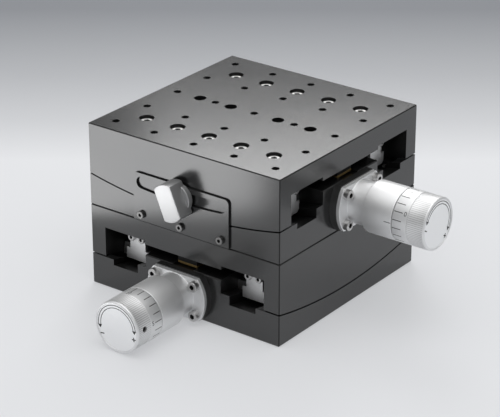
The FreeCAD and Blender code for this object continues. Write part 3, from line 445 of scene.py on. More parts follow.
@dataclass(frozen=True)
class TurnedMetal(Finish):
    """Metal turned about an axis: fine rings on its round faces and circles on its ends.

    Straight ribs, where it has them, are a number about the axis and the place where they end; their grooves
    get painted shade. A matt face is the place from which an end is matt and its radius.
    """

    spindle: Spindle
    level: float = 0.86
    warmth: float = -0.005
    rough: float = 0.4
    metal: float = 0.78
    # share of the level in the ribs' grooves: painted shade
    groove: float = 0.65
    ribs: tuple[int, float] | None = None
    matt_face: Pair | None = None
    matt_level: float = 0.97
    rings: Noise = Noise(5200, 4)
    bands: Noise = Noise(700)
    clouds: Noise = Noise(120, 3)
    fade: float = 0.1

    def surface(self, graph: Graph) -> Value:
        """Adds the shader's nodes.

        Args:
            graph: the material's graph.

        Returns:
            The shader.
        """
        along, side, above, radius = graph.about(self.spindle)
        rings, bands = (graph.ridges(along + radius, kind) for kind in (self.rings, self.bands))
        clouds = graph.noise(graph.place(), self.clouds)
        colour = graph.mix(clouds * 0.5 + rings * 0.5, grey(self.level * 0.9, self.warmth),
                           grey(self.level, self.warmth))
        rough = self.rough + rings * 0.08 + clouds * 0.06
        metal: Input = self.metal
        if self.ribs:
            count, end = self.ribs
            # painted shade in the ribs' grooves: every other stripe about the axis is darkened, up to the
            # ribs' end
            crest = graph.step((side.math("ARCTAN2", above) * count).math("COSINE"), -1.0, 0.1)
            smooth = graph.step(along, end * MM, (end + self.fade) * MM)
            colour = graph.mix(crest.math("MAXIMUM", smooth), grey(self.level * self.groove), colour)
        if self.matt_face:
            start, reach = self.matt_face
            matt = (graph.step(along, start * MM, (start + self.fade) * MM)
                    * (1 - graph.step(radius, (reach - self.fade) * MM, reach * MM)))
            rough = rough + matt * 0.06
            metal = self.metal + matt * 0.2
            colour = graph.mix(matt, colour, grey(self.matt_level, self.warmth))
        return graph.shader(colour, metal, rough, rings + bands * 0.4, 0.03, 0.35)


@dataclass(frozen=True)
class BrushedMetal(Finish):
    """Metal with fine straight lines, drawn out along one axis; the stretch is the lines' scales."""

    stretch: Numbers
    level: float = 0.62
    warmth: float = 0.0
    rough: float = 0.28
    metal: float = 0.95
    lines: Noise = Noise(1.0, 4, 0.6)
    clouds: Noise = Noise(60, 3)

    def surface(self, graph: Graph) -> Value:
        """Adds the shader's nodes.

        Args:
            graph: the material's graph.

        Returns:
            The shader.
        """
        place = graph.place()
        drawn = graph.node("ShaderNodeMapping", inputs={"Vector": place, "Scale": self.stretch})
        lines = graph.noise(drawn, self.lines)
        clouds = graph.noise(place, self.clouds)
        colour = graph.mix(lines * 0.6 + clouds * 0.4, grey(self.level * 0.84, self.warmth),
                           grey(self.level, self.warmth))
        return graph.shader(colour, self.metal, self.rough + lines * 0.1 + clouds * 0.05, lines, 0.02)


@dataclass(frozen=True)
class Brass(Finish):
    """Milled or rolled brass, a little dulled in clouds; on a wheel, painted shade turns all but its toothed
    rim near black.
    """

    bright: Colour = (0.78, 0.57, 0.24, 1.0)
    dulled: Colour = (0.52, 0.36, 0.15, 1.0)
    rough: float = 0.3
    metal: float = 0.95
    # painted shade on a wheel inside its rim: a near-black colour and lower metal
    black: float = 0.015
    black_metal: float = 0.4
    wheel: Spindle | None = None
    rim_radius: float = 0.0
    rim_fade: float = 0.2
    clouds: Noise = Noise(110, 4, 0.6)
    grain: Noise = Noise(2600)

    def surface(self, graph: Graph) -> Value:
        """Adds the shader's nodes.

        Args:
            graph: the material's graph.

        Returns:
            The shader.
        """
        place = graph.place()
        clouds, grain = (graph.noise(place, kind) for kind in (self.clouds, self.grain))
        colour = graph.mix(clouds, self.bright, self.dulled)
        metal: Input = self.metal
        # painted shade: inside the rim radius the wheel turns near black and less metallic, for the shade of
        # its recess
        if self.wheel:
            *_, radius = graph.about(self.wheel)
            rim = graph.step(radius, (self.rim_radius - self.rim_fade) * MM, self.rim_radius * MM)
            colour = graph.mix(rim, grey(self.black), colour)
            metal = rim * (self.metal - self.black_metal) + self.black_metal
        return graph.shader(colour, metal, self.rough + clouds * 0.12 + grain * 0.05, grain, 0.02)


@dataclass(frozen=True)
class ScrewPlating(Finish):
    """A screw's plating or black oxide, or a roller's polish, stained a little in spots."""

    level: float = 0.85
    metal: float = 0.95
    rough: float = 0.3
    grain: Noise = Noise(3000, 3)
    stains: Noise = Noise(420, 3, 0.6)

    def surface(self, graph: Graph) -> Value:
        """Adds the shader's nodes.

        Args:
            graph: the material's graph.

        Returns:
            The shader.
        """
        place = graph.place()
        grain, stains = (graph.noise(place, kind) for kind in (self.grain, self.stains))
        colour = graph.mix(stains, grey(self.level), grey(self.level * 0.78, 0.02))
        return graph.shader(colour, self.metal, self.rough + stains * 0.14 + grain * 0.05, grain, 0.02)


@dataclass(frozen=True)
class BlastedAluminium(Finish):
    """Clear anodised aluminium with a fine matt grain."""

    level: float = 0.5
    warmth: float = -0.005
    rough: float = 0.38
    metal: float = 0.8
    grain: Noise = Noise(4200)
    clouds: Noise = Noise(70, 3)

    def surface(self, graph: Graph) -> Value:
        """Adds the shader's nodes.

        Args:
            graph: the material's graph.

        Returns:
            The shader.
        """
        place = graph.place()
        grain, clouds = (graph.noise(place, kind) for kind in (self.grain, self.clouds))
        colour = graph.mix(clouds, grey(self.level, self.warmth), grey(self.level * 0.9, self.warmth))
        return graph.shader(colour, self.metal, self.rough + grain * 0.08 + clouds * 0.04, grain, 0.03)


@dataclass(frozen=True)
class EngravingPaint(Finish):
    """Dark paint in an engraved line, a little worn."""

    level: float = 0.03
    rough: float = 0.55
    worn: Noise = Noise(1500, 3, 0.6)

    def surface(self, graph: Graph) -> Value:
        """Adds the shader's nodes.

        Args:
            graph: the material's graph.

        Returns:
            The shader.
        """
        wear = graph.noise(graph.place(), self.worn)
        colour = graph.mix(graph.step(wear, 0.5, 0.75), grey(self.level), grey(self.level * 2.4))
        return graph.shader(colour, 0.0, self.rough + wear * 0.2, wear, 0.01)


@dataclass(frozen=True)
class StudioFloor(Finish):
    """A seamless sheet, pale in front and painted darker behind as the light falls off, with a share of its
    own glow.
    """

    away: Vector
    start: float = 0.147
    end: float = 0.417
    stops: tuple[tuple[float, Colour], ...] = (
        (0.0, (0.77, 0.78, 0.80, 1.0)),
        (0.23, (0.60, 0.61, 0.63, 1.0)),
        (0.52, (0.45, 0.46, 0.48, 1.0)),
        (1.0, (0.26, 0.27, 0.29, 1.0)),
    )
    rough: float = 0.75
    gloss: float = 0.2
    glow: float = 0.5
    mottle: Noise = Noise(30)

    def surface(self, graph: Graph) -> Value:
        """Adds the shader's nodes.

        Args:
            graph: the material's graph.

        Returns:
            The shader.
        """
        place = graph.place()
        distance = graph.vector_math("DOT_PRODUCT", place, tuple(self.away), output="Value")
        mottle = graph.noise(place, self.mottle)
        share = graph.node("ShaderNodeMapRange", inputs={
            "Value": distance, "From Min": self.start, "From Max": self.end})
        # painted falloff of light: the sheet's colour darkens with distance behind the object
        colour = graph.node("ShaderNodeValToRGB", {"stops": self.stops}, {"Fac": share + mottle * 0.01})
        sheet = graph.node("ShaderNodeBsdfPrincipled", inputs={
            "Base Color": colour, "Roughness": self.rough + mottle * 0.1, "Specular IOR Level": self.gloss})
        glow = graph.node("ShaderNodeEmission", inputs={"Color": colour, "Strength": 1.0})
        camera, mirrored = (graph.node("ShaderNodeLightPath", output=f"Is {ray} Ray")
                            for ray in ("Camera", "Glossy"))
        seen = camera.math("MAXIMUM", mirrored)
        return graph.node("ShaderNodeMixShader", inputs={0: seen * self.glow, 1: sheet, 2: glow})


# painted shade in the screws' hexagon sockets: a near-black finish for the shade inside them
SOCKET_SHADE = ScrewPlating("painted_socket_shade", level=0.02, metal=0.4, rough=0.5)
ENGRAVED = EngravingPaint("engraving_paint")


# Meshes


def add_piece(name: str, mesh: bpy.types.Mesh, flat: bool = False) -> bpy.types.Object:
    """Puts a finished mesh in the scene, smooth except at its edges.

    Args:
        name: the piece's name.
        mesh: its mesh, placed and in metres.
        flat: whether its faces stay flat instead.

    Returns:
        The new object, at the origin.
    """
    if flat:
        mesh.shade_flat()
    else:
        mesh.shade_smooth()
        mesh.set_sharp_from_angle(angle=SMOOTH_UP_TO)
    return linked(name, mesh)


def linked(name: str, data: bpy.types.ID) -> bpy.types.Object:
    """Makes an object of a mesh, curve, lamp or camera and links it to the scene.

    Args:
        name: the object's name.
        data: what it shows.

    Returns:
        The object, at the origin.
    """
    made = bpy.data.objects.new(name, data)
    bpy.context.scene.collection.objects.link(made)
    return made


def mesh_of(shape: bmesh.types.BMesh, name: str) -> bpy.types.Mesh:
    """Turns a bmesh into a mesh with its faces outwards, and frees it.

    Args:
        shape: the bmesh.
        name: the mesh's name.

    Returns:
        The mesh.
    """
    bmesh.ops.recalc_face_normals(shape, faces=shape.faces)
    mesh = bpy.data.meshes.new(name)
    shape.to_mesh(mesh)
    shape.free()
    return mesh


def baked(carrier: bpy.types.Object) -> bpy.types.Mesh:
    """Takes the plain mesh that an object's modifiers give, and removes the object.

    Args:
        carrier: the object with its modifiers.

    Returns:
        The mesh.
    """
    graph = bpy.context.evaluated_depsgraph_get()
    mesh = bpy.data.meshes.new_from_object(carrier.evaluated_get(graph), depsgraph=graph)
    bpy.data.objects.remove(carrier)
    return mesh


def combined(mesh: bpy.types.Mesh, other: bpy.types.Mesh, operation: str) -> bpy.types.Mesh:
    """Joins two closed meshes, or cuts one out of the other.

    Args:
        mesh: the first mesh.
        other: what is added or taken away.
        operation: UNION or DIFFERENCE.

    Returns:
        The new mesh.
    """
    carrier = add_piece("combining", mesh)
    tool = add_piece("combining_tool", other)
    change = carrier.modifiers.new("combine", "BOOLEAN")
    change.operation, change.solver, change.object = operation, "EXACT", tool
    result = baked(carrier)
    bpy.data.objects.remove(tool)
    return result


@dataclass(frozen=True)
class Corner:
    """A corner of a turned profile: its place along the axis, its radius and its rounding."""

    along: float
    radius: float
    rounding: float = 0.0


def rounded(corners: Sequence[Corner], steps: int = 4) -> list[Pair]:
    """Rounds the corners of a profile.

    Args:
        corners: the profile's corners, in order.
        steps: the lines in each rounding.

    Returns:
        Pairs of place and radius.
    """
    points: list[Pair] = []
    for index, corner in enumerate(corners):
        here = Vector((corner.along, corner.radius))
        if not corner.rounding or index in (0, len(corners) - 1):
            points.append(tuple(here))
            continue
        before, after = (Vector((near.along, near.radius)) for near in corners[index - 1:index + 2:2])
        start = here + (before - here).normalized() * corner.rounding
        end = here + (after - here).normalized() * corner.rounding
        for step in range(steps + 1):
            share = step / steps
            points.append(tuple(start.lerp(here, share).lerp(here.lerp(end, share), share)))
    return points


def slab(name: str, outlines: Sequence[Sequence[Vector]], depth: Vector) -> bpy.types.Mesh:
    """Makes thin closed plates of flat outlines.

    Args:
        name: the mesh's name.
        outlines: each plate's corners in order, on its upper face.
        depth: from the upper face to the lower.

    Returns:
        The mesh.
    """
    shape = bmesh.new()
    for outline in outlines:
        top = [shape.verts.new(point) for point in outline]
        foot = [shape.verts.new(point + depth) for point in outline]
        shape.faces.new(top)
        shape.faces.new(foot[::-1])
        for index in range(len(top)):
            follow = (index + 1) % len(top)
            shape.faces.new([top[index], foot[index], foot[follow], top[follow]])
    return mesh_of(shape, name)


def text_mesh(body: str, height: float, capital_share: float = 0.72) -> bpy.types.Mesh:
    """Makes a flat plain text, centred on its middle.

    Args:
        body: the digits.
        height: of a digit, in mm.
        capital_share: a digit's height in a font of size 1.

    Returns:
        The mesh in mm, thin along Z.
    """
    curve = bpy.data.curves.new("digits_" + body, "FONT")
    curve.body = body
    curve.size = height / capital_share
    curve.align_x = curve.align_y = "CENTER"
    curve.extrude = DIGIT_HALF_THICKNESS
    return baked(linked("digits_" + body, curve))


# Repeated pieces


@dataclass(frozen=True)
class Spot:
    """Where a repeated piece goes: its point, the way it faces and the way its X axis lies."""

    point: Vector
    way: Vector
    lies: Vector


@dataclass(frozen=True)
class Repeat:
    """A Geometry Nodes tree that sets a piece at each point of a mesh."""

    graph: Graph
    entry: bpy.types.Node

    @classmethod
    def new(cls, name: str, sizes: Iterable[str], counts: Iterable[str]) -> "Repeat":
        """Starts a tree with named inputs.

        Args:
            name: the tree's name.
            sizes: the inputs that are lengths or angles.
            counts: the inputs that are whole numbers.

        Returns:
            The tree.
        """
        tree = bpy.data.node_groups.new(name, "GeometryNodeTree")
        inputs = (("Geometry", ("Spots",)), ("Float", sizes), ("Int", counts),
                  ("Material", ("Finish", "Socket Shade Finish")))
        for kind, labels in inputs:
            for label in labels:
                tree.interface.new_socket(label, in_out="INPUT", socket_type="NodeSocket" + kind)
        tree.interface.new_socket("Piece", in_out="OUTPUT", socket_type="NodeSocketGeometry")
        return cls(Graph(tree), tree.nodes.new("NodeGroupInput"))

    def given(self, label: str) -> Value:
        """The tree's input of that name."""
        return Value(self.graph, self.entry.outputs[label])

    def moved(self, geometry: Value, rise: Input) -> Value:
        """A geometry moved along Z."""
        offset = self.graph.node("ShaderNodeCombineXYZ", inputs={"Z": rise})
        return self.graph.node("GeometryNodeTransform", inputs={"Geometry": geometry, "Translation": offset})

    def cylinder(self, radius: Value, depth: Value, middle: Input, sides: "Value | int") -> Value:
        """A closed cylinder about Z."""
        sizes = {"Vertices": sides, "Radius": radius, "Depth": depth}
        return self.moved(self.graph.node("GeometryNodeMeshCylinder", {"fill_type": "NGON"}, sizes), middle)

    def boolean(self, operation: str, first: Value | None, *others: Value) -> Value:
        """Combines closed meshes exactly.

        Args:
            operation: the node's operation.
            first: what the others are cut from, where the operation has that.
            others: the other meshes.

        Returns:
            The result.
        """
        node = self.graph.tree.nodes.new("GeometryNodeMeshBoolean")
        node.operation, node.solver = operation, "EXACT"
        if first:
            self.graph.tree.links.new(first.socket, node.inputs["Mesh 1"])
        for other in others:
            self.graph.tree.links.new(other.socket, node.inputs["Mesh 2"])
        return Value(self.graph, node.outputs["Mesh"])

    def painted(self, geometry: Value, finish: Value, where: Value | None = None) -> Value:
        """A geometry with a material, on all its faces or on those that are chosen."""
        inputs = {"Geometry": geometry, "Material": finish} | ({"Selection": where} if where else {})
        return self.graph.node("GeometryNodeSetMaterial", inputs=inputs)

    def stand(self, instance: Value, spin: Value | None = None) -> None:
        """Ends the tree: the piece on each spot, made real and given its finish.

        Args:
            instance: the piece, about Z, with its face at the top; its socket may carry the painted socket
                shade.
            spin: a turn about the piece's own axis, in radians.
        """
        node = self.graph.node
        way, lies = (node("GeometryNodeInputNamedAttribute", {"data_type": "FLOAT_VECTOR"}, {"Name": label})
                     for label in ("way", "lies"))
        turn = node("FunctionNodeAxesToRotation", {"primary_axis": "Z", "secondary_axis": "X"},
                    {0: way, 1: lies})
        if spin:
            about = node("FunctionNodeAxisAngleToRotation", inputs={"Axis": (0, 0, 1), "Angle": spin})
            turn = node("FunctionNodeRotateRotation", {"rotation_space": "LOCAL"},
                        {"Rotation": turn, "Rotate By": about})
        many = node("GeometryNodeInstanceOnPoints", inputs={
            "Points": self.given("Spots"), "Instance": instance, "Rotation": turn})
        real = node("GeometryNodeRealizeInstances", inputs={"Geometry": many})
        # faces with the painted socket shade keep it; the others get the finish
        shaded_socket = node("GeometryNodeMaterialSelection", inputs={"Material": self.given("Socket Shade Finish")})
        rest = node("FunctionNodeBooleanMath", {"operation": "NOT"}, {0: shaded_socket})
        node("NodeGroupOutput", inputs={"Piece": self.painted(real, self.given("Finish"), rest)})

    def grow(self, name: str, spots: Sequence[Spot], finish: Finish,
             values: dict[str, float]) -> bpy.types.Object:
        """Makes the plain mesh of all the repeated pieces.

        Args:
            name: the piece's name.
            spots: where they go.
            finish: their finish.
            values: the tree's inputs by name.

        Returns:
            The new object.
        """
        points = bpy.data.meshes.new(name + "_spots")
        points.from_pydata([spot.point for spot in spots], [], [])
        for label in ("way", "lies"):
            layer = points.attributes.new(label, "FLOAT_VECTOR", "POINT")
            layer.data.foreach_set("vector", [number for spot in spots for number in getattr(spot, label)])
        carrier = linked(name + "_spots", points)
        change = carrier.modifiers.new("repeat", "NODES")
        change.node_group = self.graph.tree
        given = {**values, "Finish": finish.material(), "Socket Shade Finish": SOCKET_SHADE.material()}
        for item in self.graph.tree.interface.items_tree:
            if item.in_out == "INPUT" and item.name in given:
                change[item.identifier] = given[item.name]
        return add_piece(name, baked(carrier))


def screw_tree() -> Repeat:
    """A socket head screw: chamfered head, hexagon socket and shank, each turned at random.

    Returns:
        The tree, with its seat at height 0 and its head above.
    """
    tree = Repeat.new("socket_head_screw", (
        "Head Radius", "Head Height", "Edge", "Socket Radius", "Socket Depth", "Shank Radius", "Shank Length",
    ), ("Sides", "Seed"))
    radius, height, edge = tree.given("Head Radius"), tree.given("Head Height"), tree.given("Edge")
    sides = tree.given("Sides")
    head = tree.cylinder(radius, height, height * 0.5, sides)
    cone = tree.graph.node("GeometryNodeMeshCone", {"fill_type": "NGON"}, {
        "Vertices": sides, "Radius Top": radius - edge, "Radius Bottom": radius + height - edge,
        "Depth": height})
    head = tree.boolean("INTERSECT", None, head, cone)
    length = tree.given("Shank Length")
    overlap = height * 0.3
    shank = tree.cylinder(tree.given("Shank Radius"), length + overlap, (overlap - length) * 0.5, sides)
    whole = tree.boolean("UNION", None, head, shank)
    depth = tree.given("Socket Depth")
    socket = tree.cylinder(tree.given("Socket Radius"), depth * 2, height, 6)
    # the socket's faces take the painted shade
    socket = tree.painted(socket, tree.given("Socket Shade Finish"))
    screw = tree.boolean("DIFFERENCE", whole, socket)
    spin = tree.graph.node("FunctionNodeRandomValue", {"data_type": "FLOAT"}, {
        "Min_001": 0.0, "Max_001": math.tau, "Seed": tree.given("Seed")}, "Value_001")
    tree.stand(screw, spin)
    return tree


def line_tree() -> Repeat:
    """A thin engraved line that lies along X.

    Returns:
        The tree, with the line's middle at its spot.
    """
    tree = Repeat.new("engraved_line", ("Length", "Width", "Thickness"), ())
    size = tree.graph.node("ShaderNodeCombineXYZ", inputs={
        "X": tree.given("Length"), "Y": tree.given("Width"), "Z": tree.given("Thickness")})
    tree.stand(tree.graph.node("GeometryNodeMeshCube", inputs={
        "Size": size, "Vertices X": 9, "Vertices Y": 3, "Vertices Z": 2}))
    return tree


def thread_tree() -> Repeat:
    """The helix of a tapped hole's thread, running down from its spot.

    Returns:
        The tree.
    """
    tree = Repeat.new("tapped_thread", ("Radius", "Ridge", "Depth", "Turns"), ("Steps",))
    helix = tree.graph.node("GeometryNodeCurveSpiral", inputs={
        "Resolution": tree.given("Steps"), "Rotations": tree.given("Turns"),
        "Start Radius": tree.given("Radius"), "End Radius": tree.given("Radius"),
        "Height": tree.given("Depth")})
    ridge = tree.graph.node("GeometryNodeCurvePrimitiveCircle", {"mode": "RADIUS"}, {
        "Resolution": 4, "Radius": tree.given("Ridge")})
    tube = tree.graph.node("GeometryNodeCurveToMesh", inputs={
        "Curve": helix, "Profile Curve": ridge, "Fill Caps": True})
    tree.stand(tree.moved(tube, tree.given("Depth") * -1))
    return tree


class Thread(Enum):
    """Metric screws of this object, by thread: head radius and height, socket, shank radius, all in mm."""

    M5 = (4.25, 5.0, 2.31, 2.5)
    M4 = (3.5, 3.5, 1.73, 2.0)
    M3 = (2.75, 3.0, 1.44, 1.5)
    M2_5 = (2.1, 1.6, 0.98, 1.25)

    def sizes(self, length: float, seed: int) -> dict[str, float]:
        """The screw tree's inputs.

        Args:
            length: the shank's length, in mm.
            seed: of the screws' random turns.

        Returns:
            The inputs by name, in metres.
        """
        head, height, socket, shank = self.value
        edge, socket_depth, clearance = head * 0.12, height * 0.6, 0.06
        return {
            "Head Radius": head * MM, "Head Height": height * MM, "Edge": edge * MM,
            "Socket Radius": socket * MM, "Socket Depth": socket_depth * MM,
            "Shank Radius": (shank - clearance) * MM, "Shank Length": length * MM, "Sides": 40, "Seed": seed,
        }


class Plating(Enum):
    """The finishes of the screws."""

    NICKEL = ScrewPlating("nickelled_screw")
    STEEL = ScrewPlating("plain_steel_screw", level=0.6, rough=0.2)
    BLUED = ScrewPlating("blued_screw", level=0.2, rough=0.26)
    BLACK = ScrewPlating("blackened_screw", level=0.045, metal=0.6, rough=0.38)

    @property
    def slot(self) -> str:
        """The record's material slot."""
        return "screw_steel" if self in (Plating.NICKEL, Plating.STEEL) else "dark_screw"


# Sub-assemblies


def fit(piece: bpy.types.Object, body: str, nodes: Sequence[str] = ()) -> None:
    """Hangs a piece on its body and what it stands for, and reports it.

    Args:
        piece: the finished piece.
        body: the body that it moves with.
        nodes: the nodes that it replaces.
    """
    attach(piece, body)
    if nodes:
        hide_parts(*nodes)
    log.info("%s rides on %s", piece.name, body)


@dataclass(frozen=True)
class StageFrame:
    """A stage: its bodies, how high it stands, whether it is turned by -90 degrees, and its axes."""

    name: str
    base_body: str
    table_body: str
    rise: float
    turned: bool

    @property
    def knob_body(self) -> str:
        """The body of the dial's turning pieces."""
        return f"{self.name}_knob"

    def way(self, x: float, y: float, z: float) -> Vector:
        """A direction of the stage's own frame."""
        return Vector((y, -x, z)) if self.turned else Vector((x, y, z))

    def point(self, x: float, y: float, z: float) -> Vector:
        """A point of the stage's own frame, given in mm, in metres."""
        return (self.way(x, y, z) + UP * self.rise) * MM

    def axis(self, local: str) -> str:
        """The object's axis that the stage's X or Y lies on."""
        return {"X": "Y", "Y": "X"}[local] if self.turned else local

    @property
    def worm(self) -> Spindle:
        """The worm's axis, towards the dial."""
        return Spindle(self.point(0, 0, WORM_HEIGHT), self.way(1, 0, 0), self.way(0, 1, 0))

    @property
    def clamp(self) -> Spindle:
        """The clamp's axis, outwards."""
        return Spindle(self.point(0, 0, CLAMP_HEIGHT), self.way(0, -1, 0), self.way(-1, 0, 0))

    @property
    def tilt(self) -> Spindle:
        """The axis that the table tilts about."""
        return Spindle(self.point(0, 0, TILT_HEIGHT), self.way(0, 1, 0), self.way(1, 0, 0))

    def node(self, kind: str) -> bpy.types.Object:
        """The stage's CAD node of a kind."""
        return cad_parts[f"{self.name}_{kind}"]

    def add(self, name: str, mesh: bpy.types.Mesh, finish: Finish, body: str, slot: str,
            kind: str | None = None, flat: bool = False) -> None:
        """Adds a piece of the stage with its finish.

        Args:
            name: the piece's name, without the stage's.
            mesh: its mesh.
            finish: its finish.
            body: the body that it moves with.
            slot: the material slot of its finish; not used.
            kind: the kind of the node that it replaces.
            flat: whether its faces stay flat.
        """
        piece = add_piece(f"{self.name}_{name}", mesh, flat)
        finish.dress(piece)
        fit(piece, body, [f"{self.name}_{kind}"] if kind else ())


class Tier(Enum):
    """The two stages, which are alike."""

    LOWER = StageFrame("lower", "fixed_base", "middle_stage", rise=0.0, turned=True)
    UPPER = StageFrame("upper", "middle_stage", "top_table", rise=STAGE_HEIGHT, turned=False)


@dataclass(frozen=True)
class ScrewSet:
    """The socket head screws of a stage, with the seats of each kind."""

    stage: StageFrame
    screws: Repeat
    table_seat: float = 40.0
    rail_screw_pitch: float = 20.0
    wheel_seat: float = 37.0
    wheel_places: Pair = (15.0, 35.0)
    base_seat: float = 5.5
    base_rail_lines: Pair = (26.9, 47.7)
    base_rail_reach: float = 30.0
    flange_spread: float = 12.7
    flange_rise: float = 8.2
    clamp_pitch: float = 25.0
    clamp_screw_height: float = 4.0
    end_plate_face: float = 50.0
    end_screw_half: float = 3.2
    end_screw_height: float = 28.0
    joint_reach: float = 50.0
    joint_seat: float = 6.0

    def spots(self, places: Iterable[Numbers], way: Numbers, lies: Numbers) -> list[Spot]:
        """Turns seats into spots.

        Args:
            places: the seats, in the stage's frame, in mm.
            way: the way that the heads face.
            lies: a direction across that one.

        Returns:
            The spots, in the same order.
        """
        stage = self.stage
        return [Spot(stage.point(*place), stage.way(*way), stage.way(*lies)) for place in places]

    def fit_set(self, kind: str, body: str, sizes: dict[str, float], spots: Sequence[Spot],
                plating: Plating = Plating.NICKEL) -> None:
        """Makes a set of alike screws.

        Args:
            kind: the node's kind.
            body: the body that holds them.
            sizes: the screw tree's inputs.
            spots: where they go.
            plating: their finish.
        """
        node = f"{self.stage.name}_{kind}"
        piece = self.screws.grow(node + "_dressed", spots, plating.value, sizes)
        fit(piece, body, [node])

    def build(self) -> None:
        """Makes all the screws of the stage."""
        stage, up, ahead, sides = self.stage, (0, 0, 1), (1, 0, 0), (-1, 1)
        table, base = stage.table_body, stage.base_body
        self.fit_set("table_rail_screws", table, Thread.M4.sizes(length=12, seed=17), self.spots(
            [(self.rail_screw_pitch * step, RAIL_LINE * side, self.table_seat)
             for side in sides for step in range(-2, 3)], up, ahead))
        self.fit_set("worm_wheel_screws", table, Thread.M3.sizes(length=8, seed=17), self.spots(
            [(place * side, 0, self.wheel_seat) for place in self.wheel_places for side in sides],
            up, ahead), Plating.BLACK)
        self.fit_set("base_rail_screws", base, Thread.M2_5.sizes(length=12, seed=16), self.spots(
            [(self.base_rail_reach * end, line * side, self.base_seat)
             for line in self.base_rail_lines for side in sides for end in sides], (0, 0, -1), ahead))
        self.fit_set("flange_screws", base, Thread.M3.sizes(length=10, seed=13), self.spots(
            [(FLANGE_FACE, self.flange_spread * side, WORM_HEIGHT + self.flange_rise * rise)
             for side in sides for rise in sides], ahead, up), Plating.STEEL)
        self.fit_set("clamp_plate_screws", base, Thread.M2_5.sizes(length=6, seed=18), self.spots(
            [(self.clamp_pitch * step, -CLAMP_PLATE_FRONT, self.clamp_screw_height) for step in (-1, 0, 1)],
            (0, -1, 0), up), Plating.BLUED)
        self.fit_set("rail_end_screws", table, Thread.M2_5.sizes(length=6, seed=5), [
            spot for end in sides for spot in self.spots(
                [(self.end_plate_face * end, RAIL_LINE * side + self.end_screw_half * half,
                  self.end_screw_height) for side in sides for half in sides], (end, 0, 0), up)],
            Plating.STEEL)

    def join_stages(self) -> None:
        """Makes the screws that hold the upper base on the lower table."""
        sides = (-1, 1)
        places = [(self.joint_reach * x, self.joint_reach * y, self.joint_seat) for x in sides for y in sides]
        self.fit_set("stage_screws", self.stage.base_body, Thread.M5.sizes(length=12, seed=12),
                     self.spots(places, (0, 0, 1), (1, 0, 0)))


@dataclass(frozen=True)
class Scale:
    """How a dial is numbered at rest: the angle of its zero and of its turning marks, in degrees."""

    first_line: float
    numbers: dict[int, float]
    marks_centre: float


SCALES = {
    Tier.LOWER: Scale(11.5, {0: 173.5, 5: 83.5, 10: -6.5, 15: -96.5}, marks_centre=-7.0),
    Tier.UPPER: Scale(-60.5, {0: -60.5, 5: -150.5, 10: 119.5, 15: 29.5}, marks_centre=27.0),
}


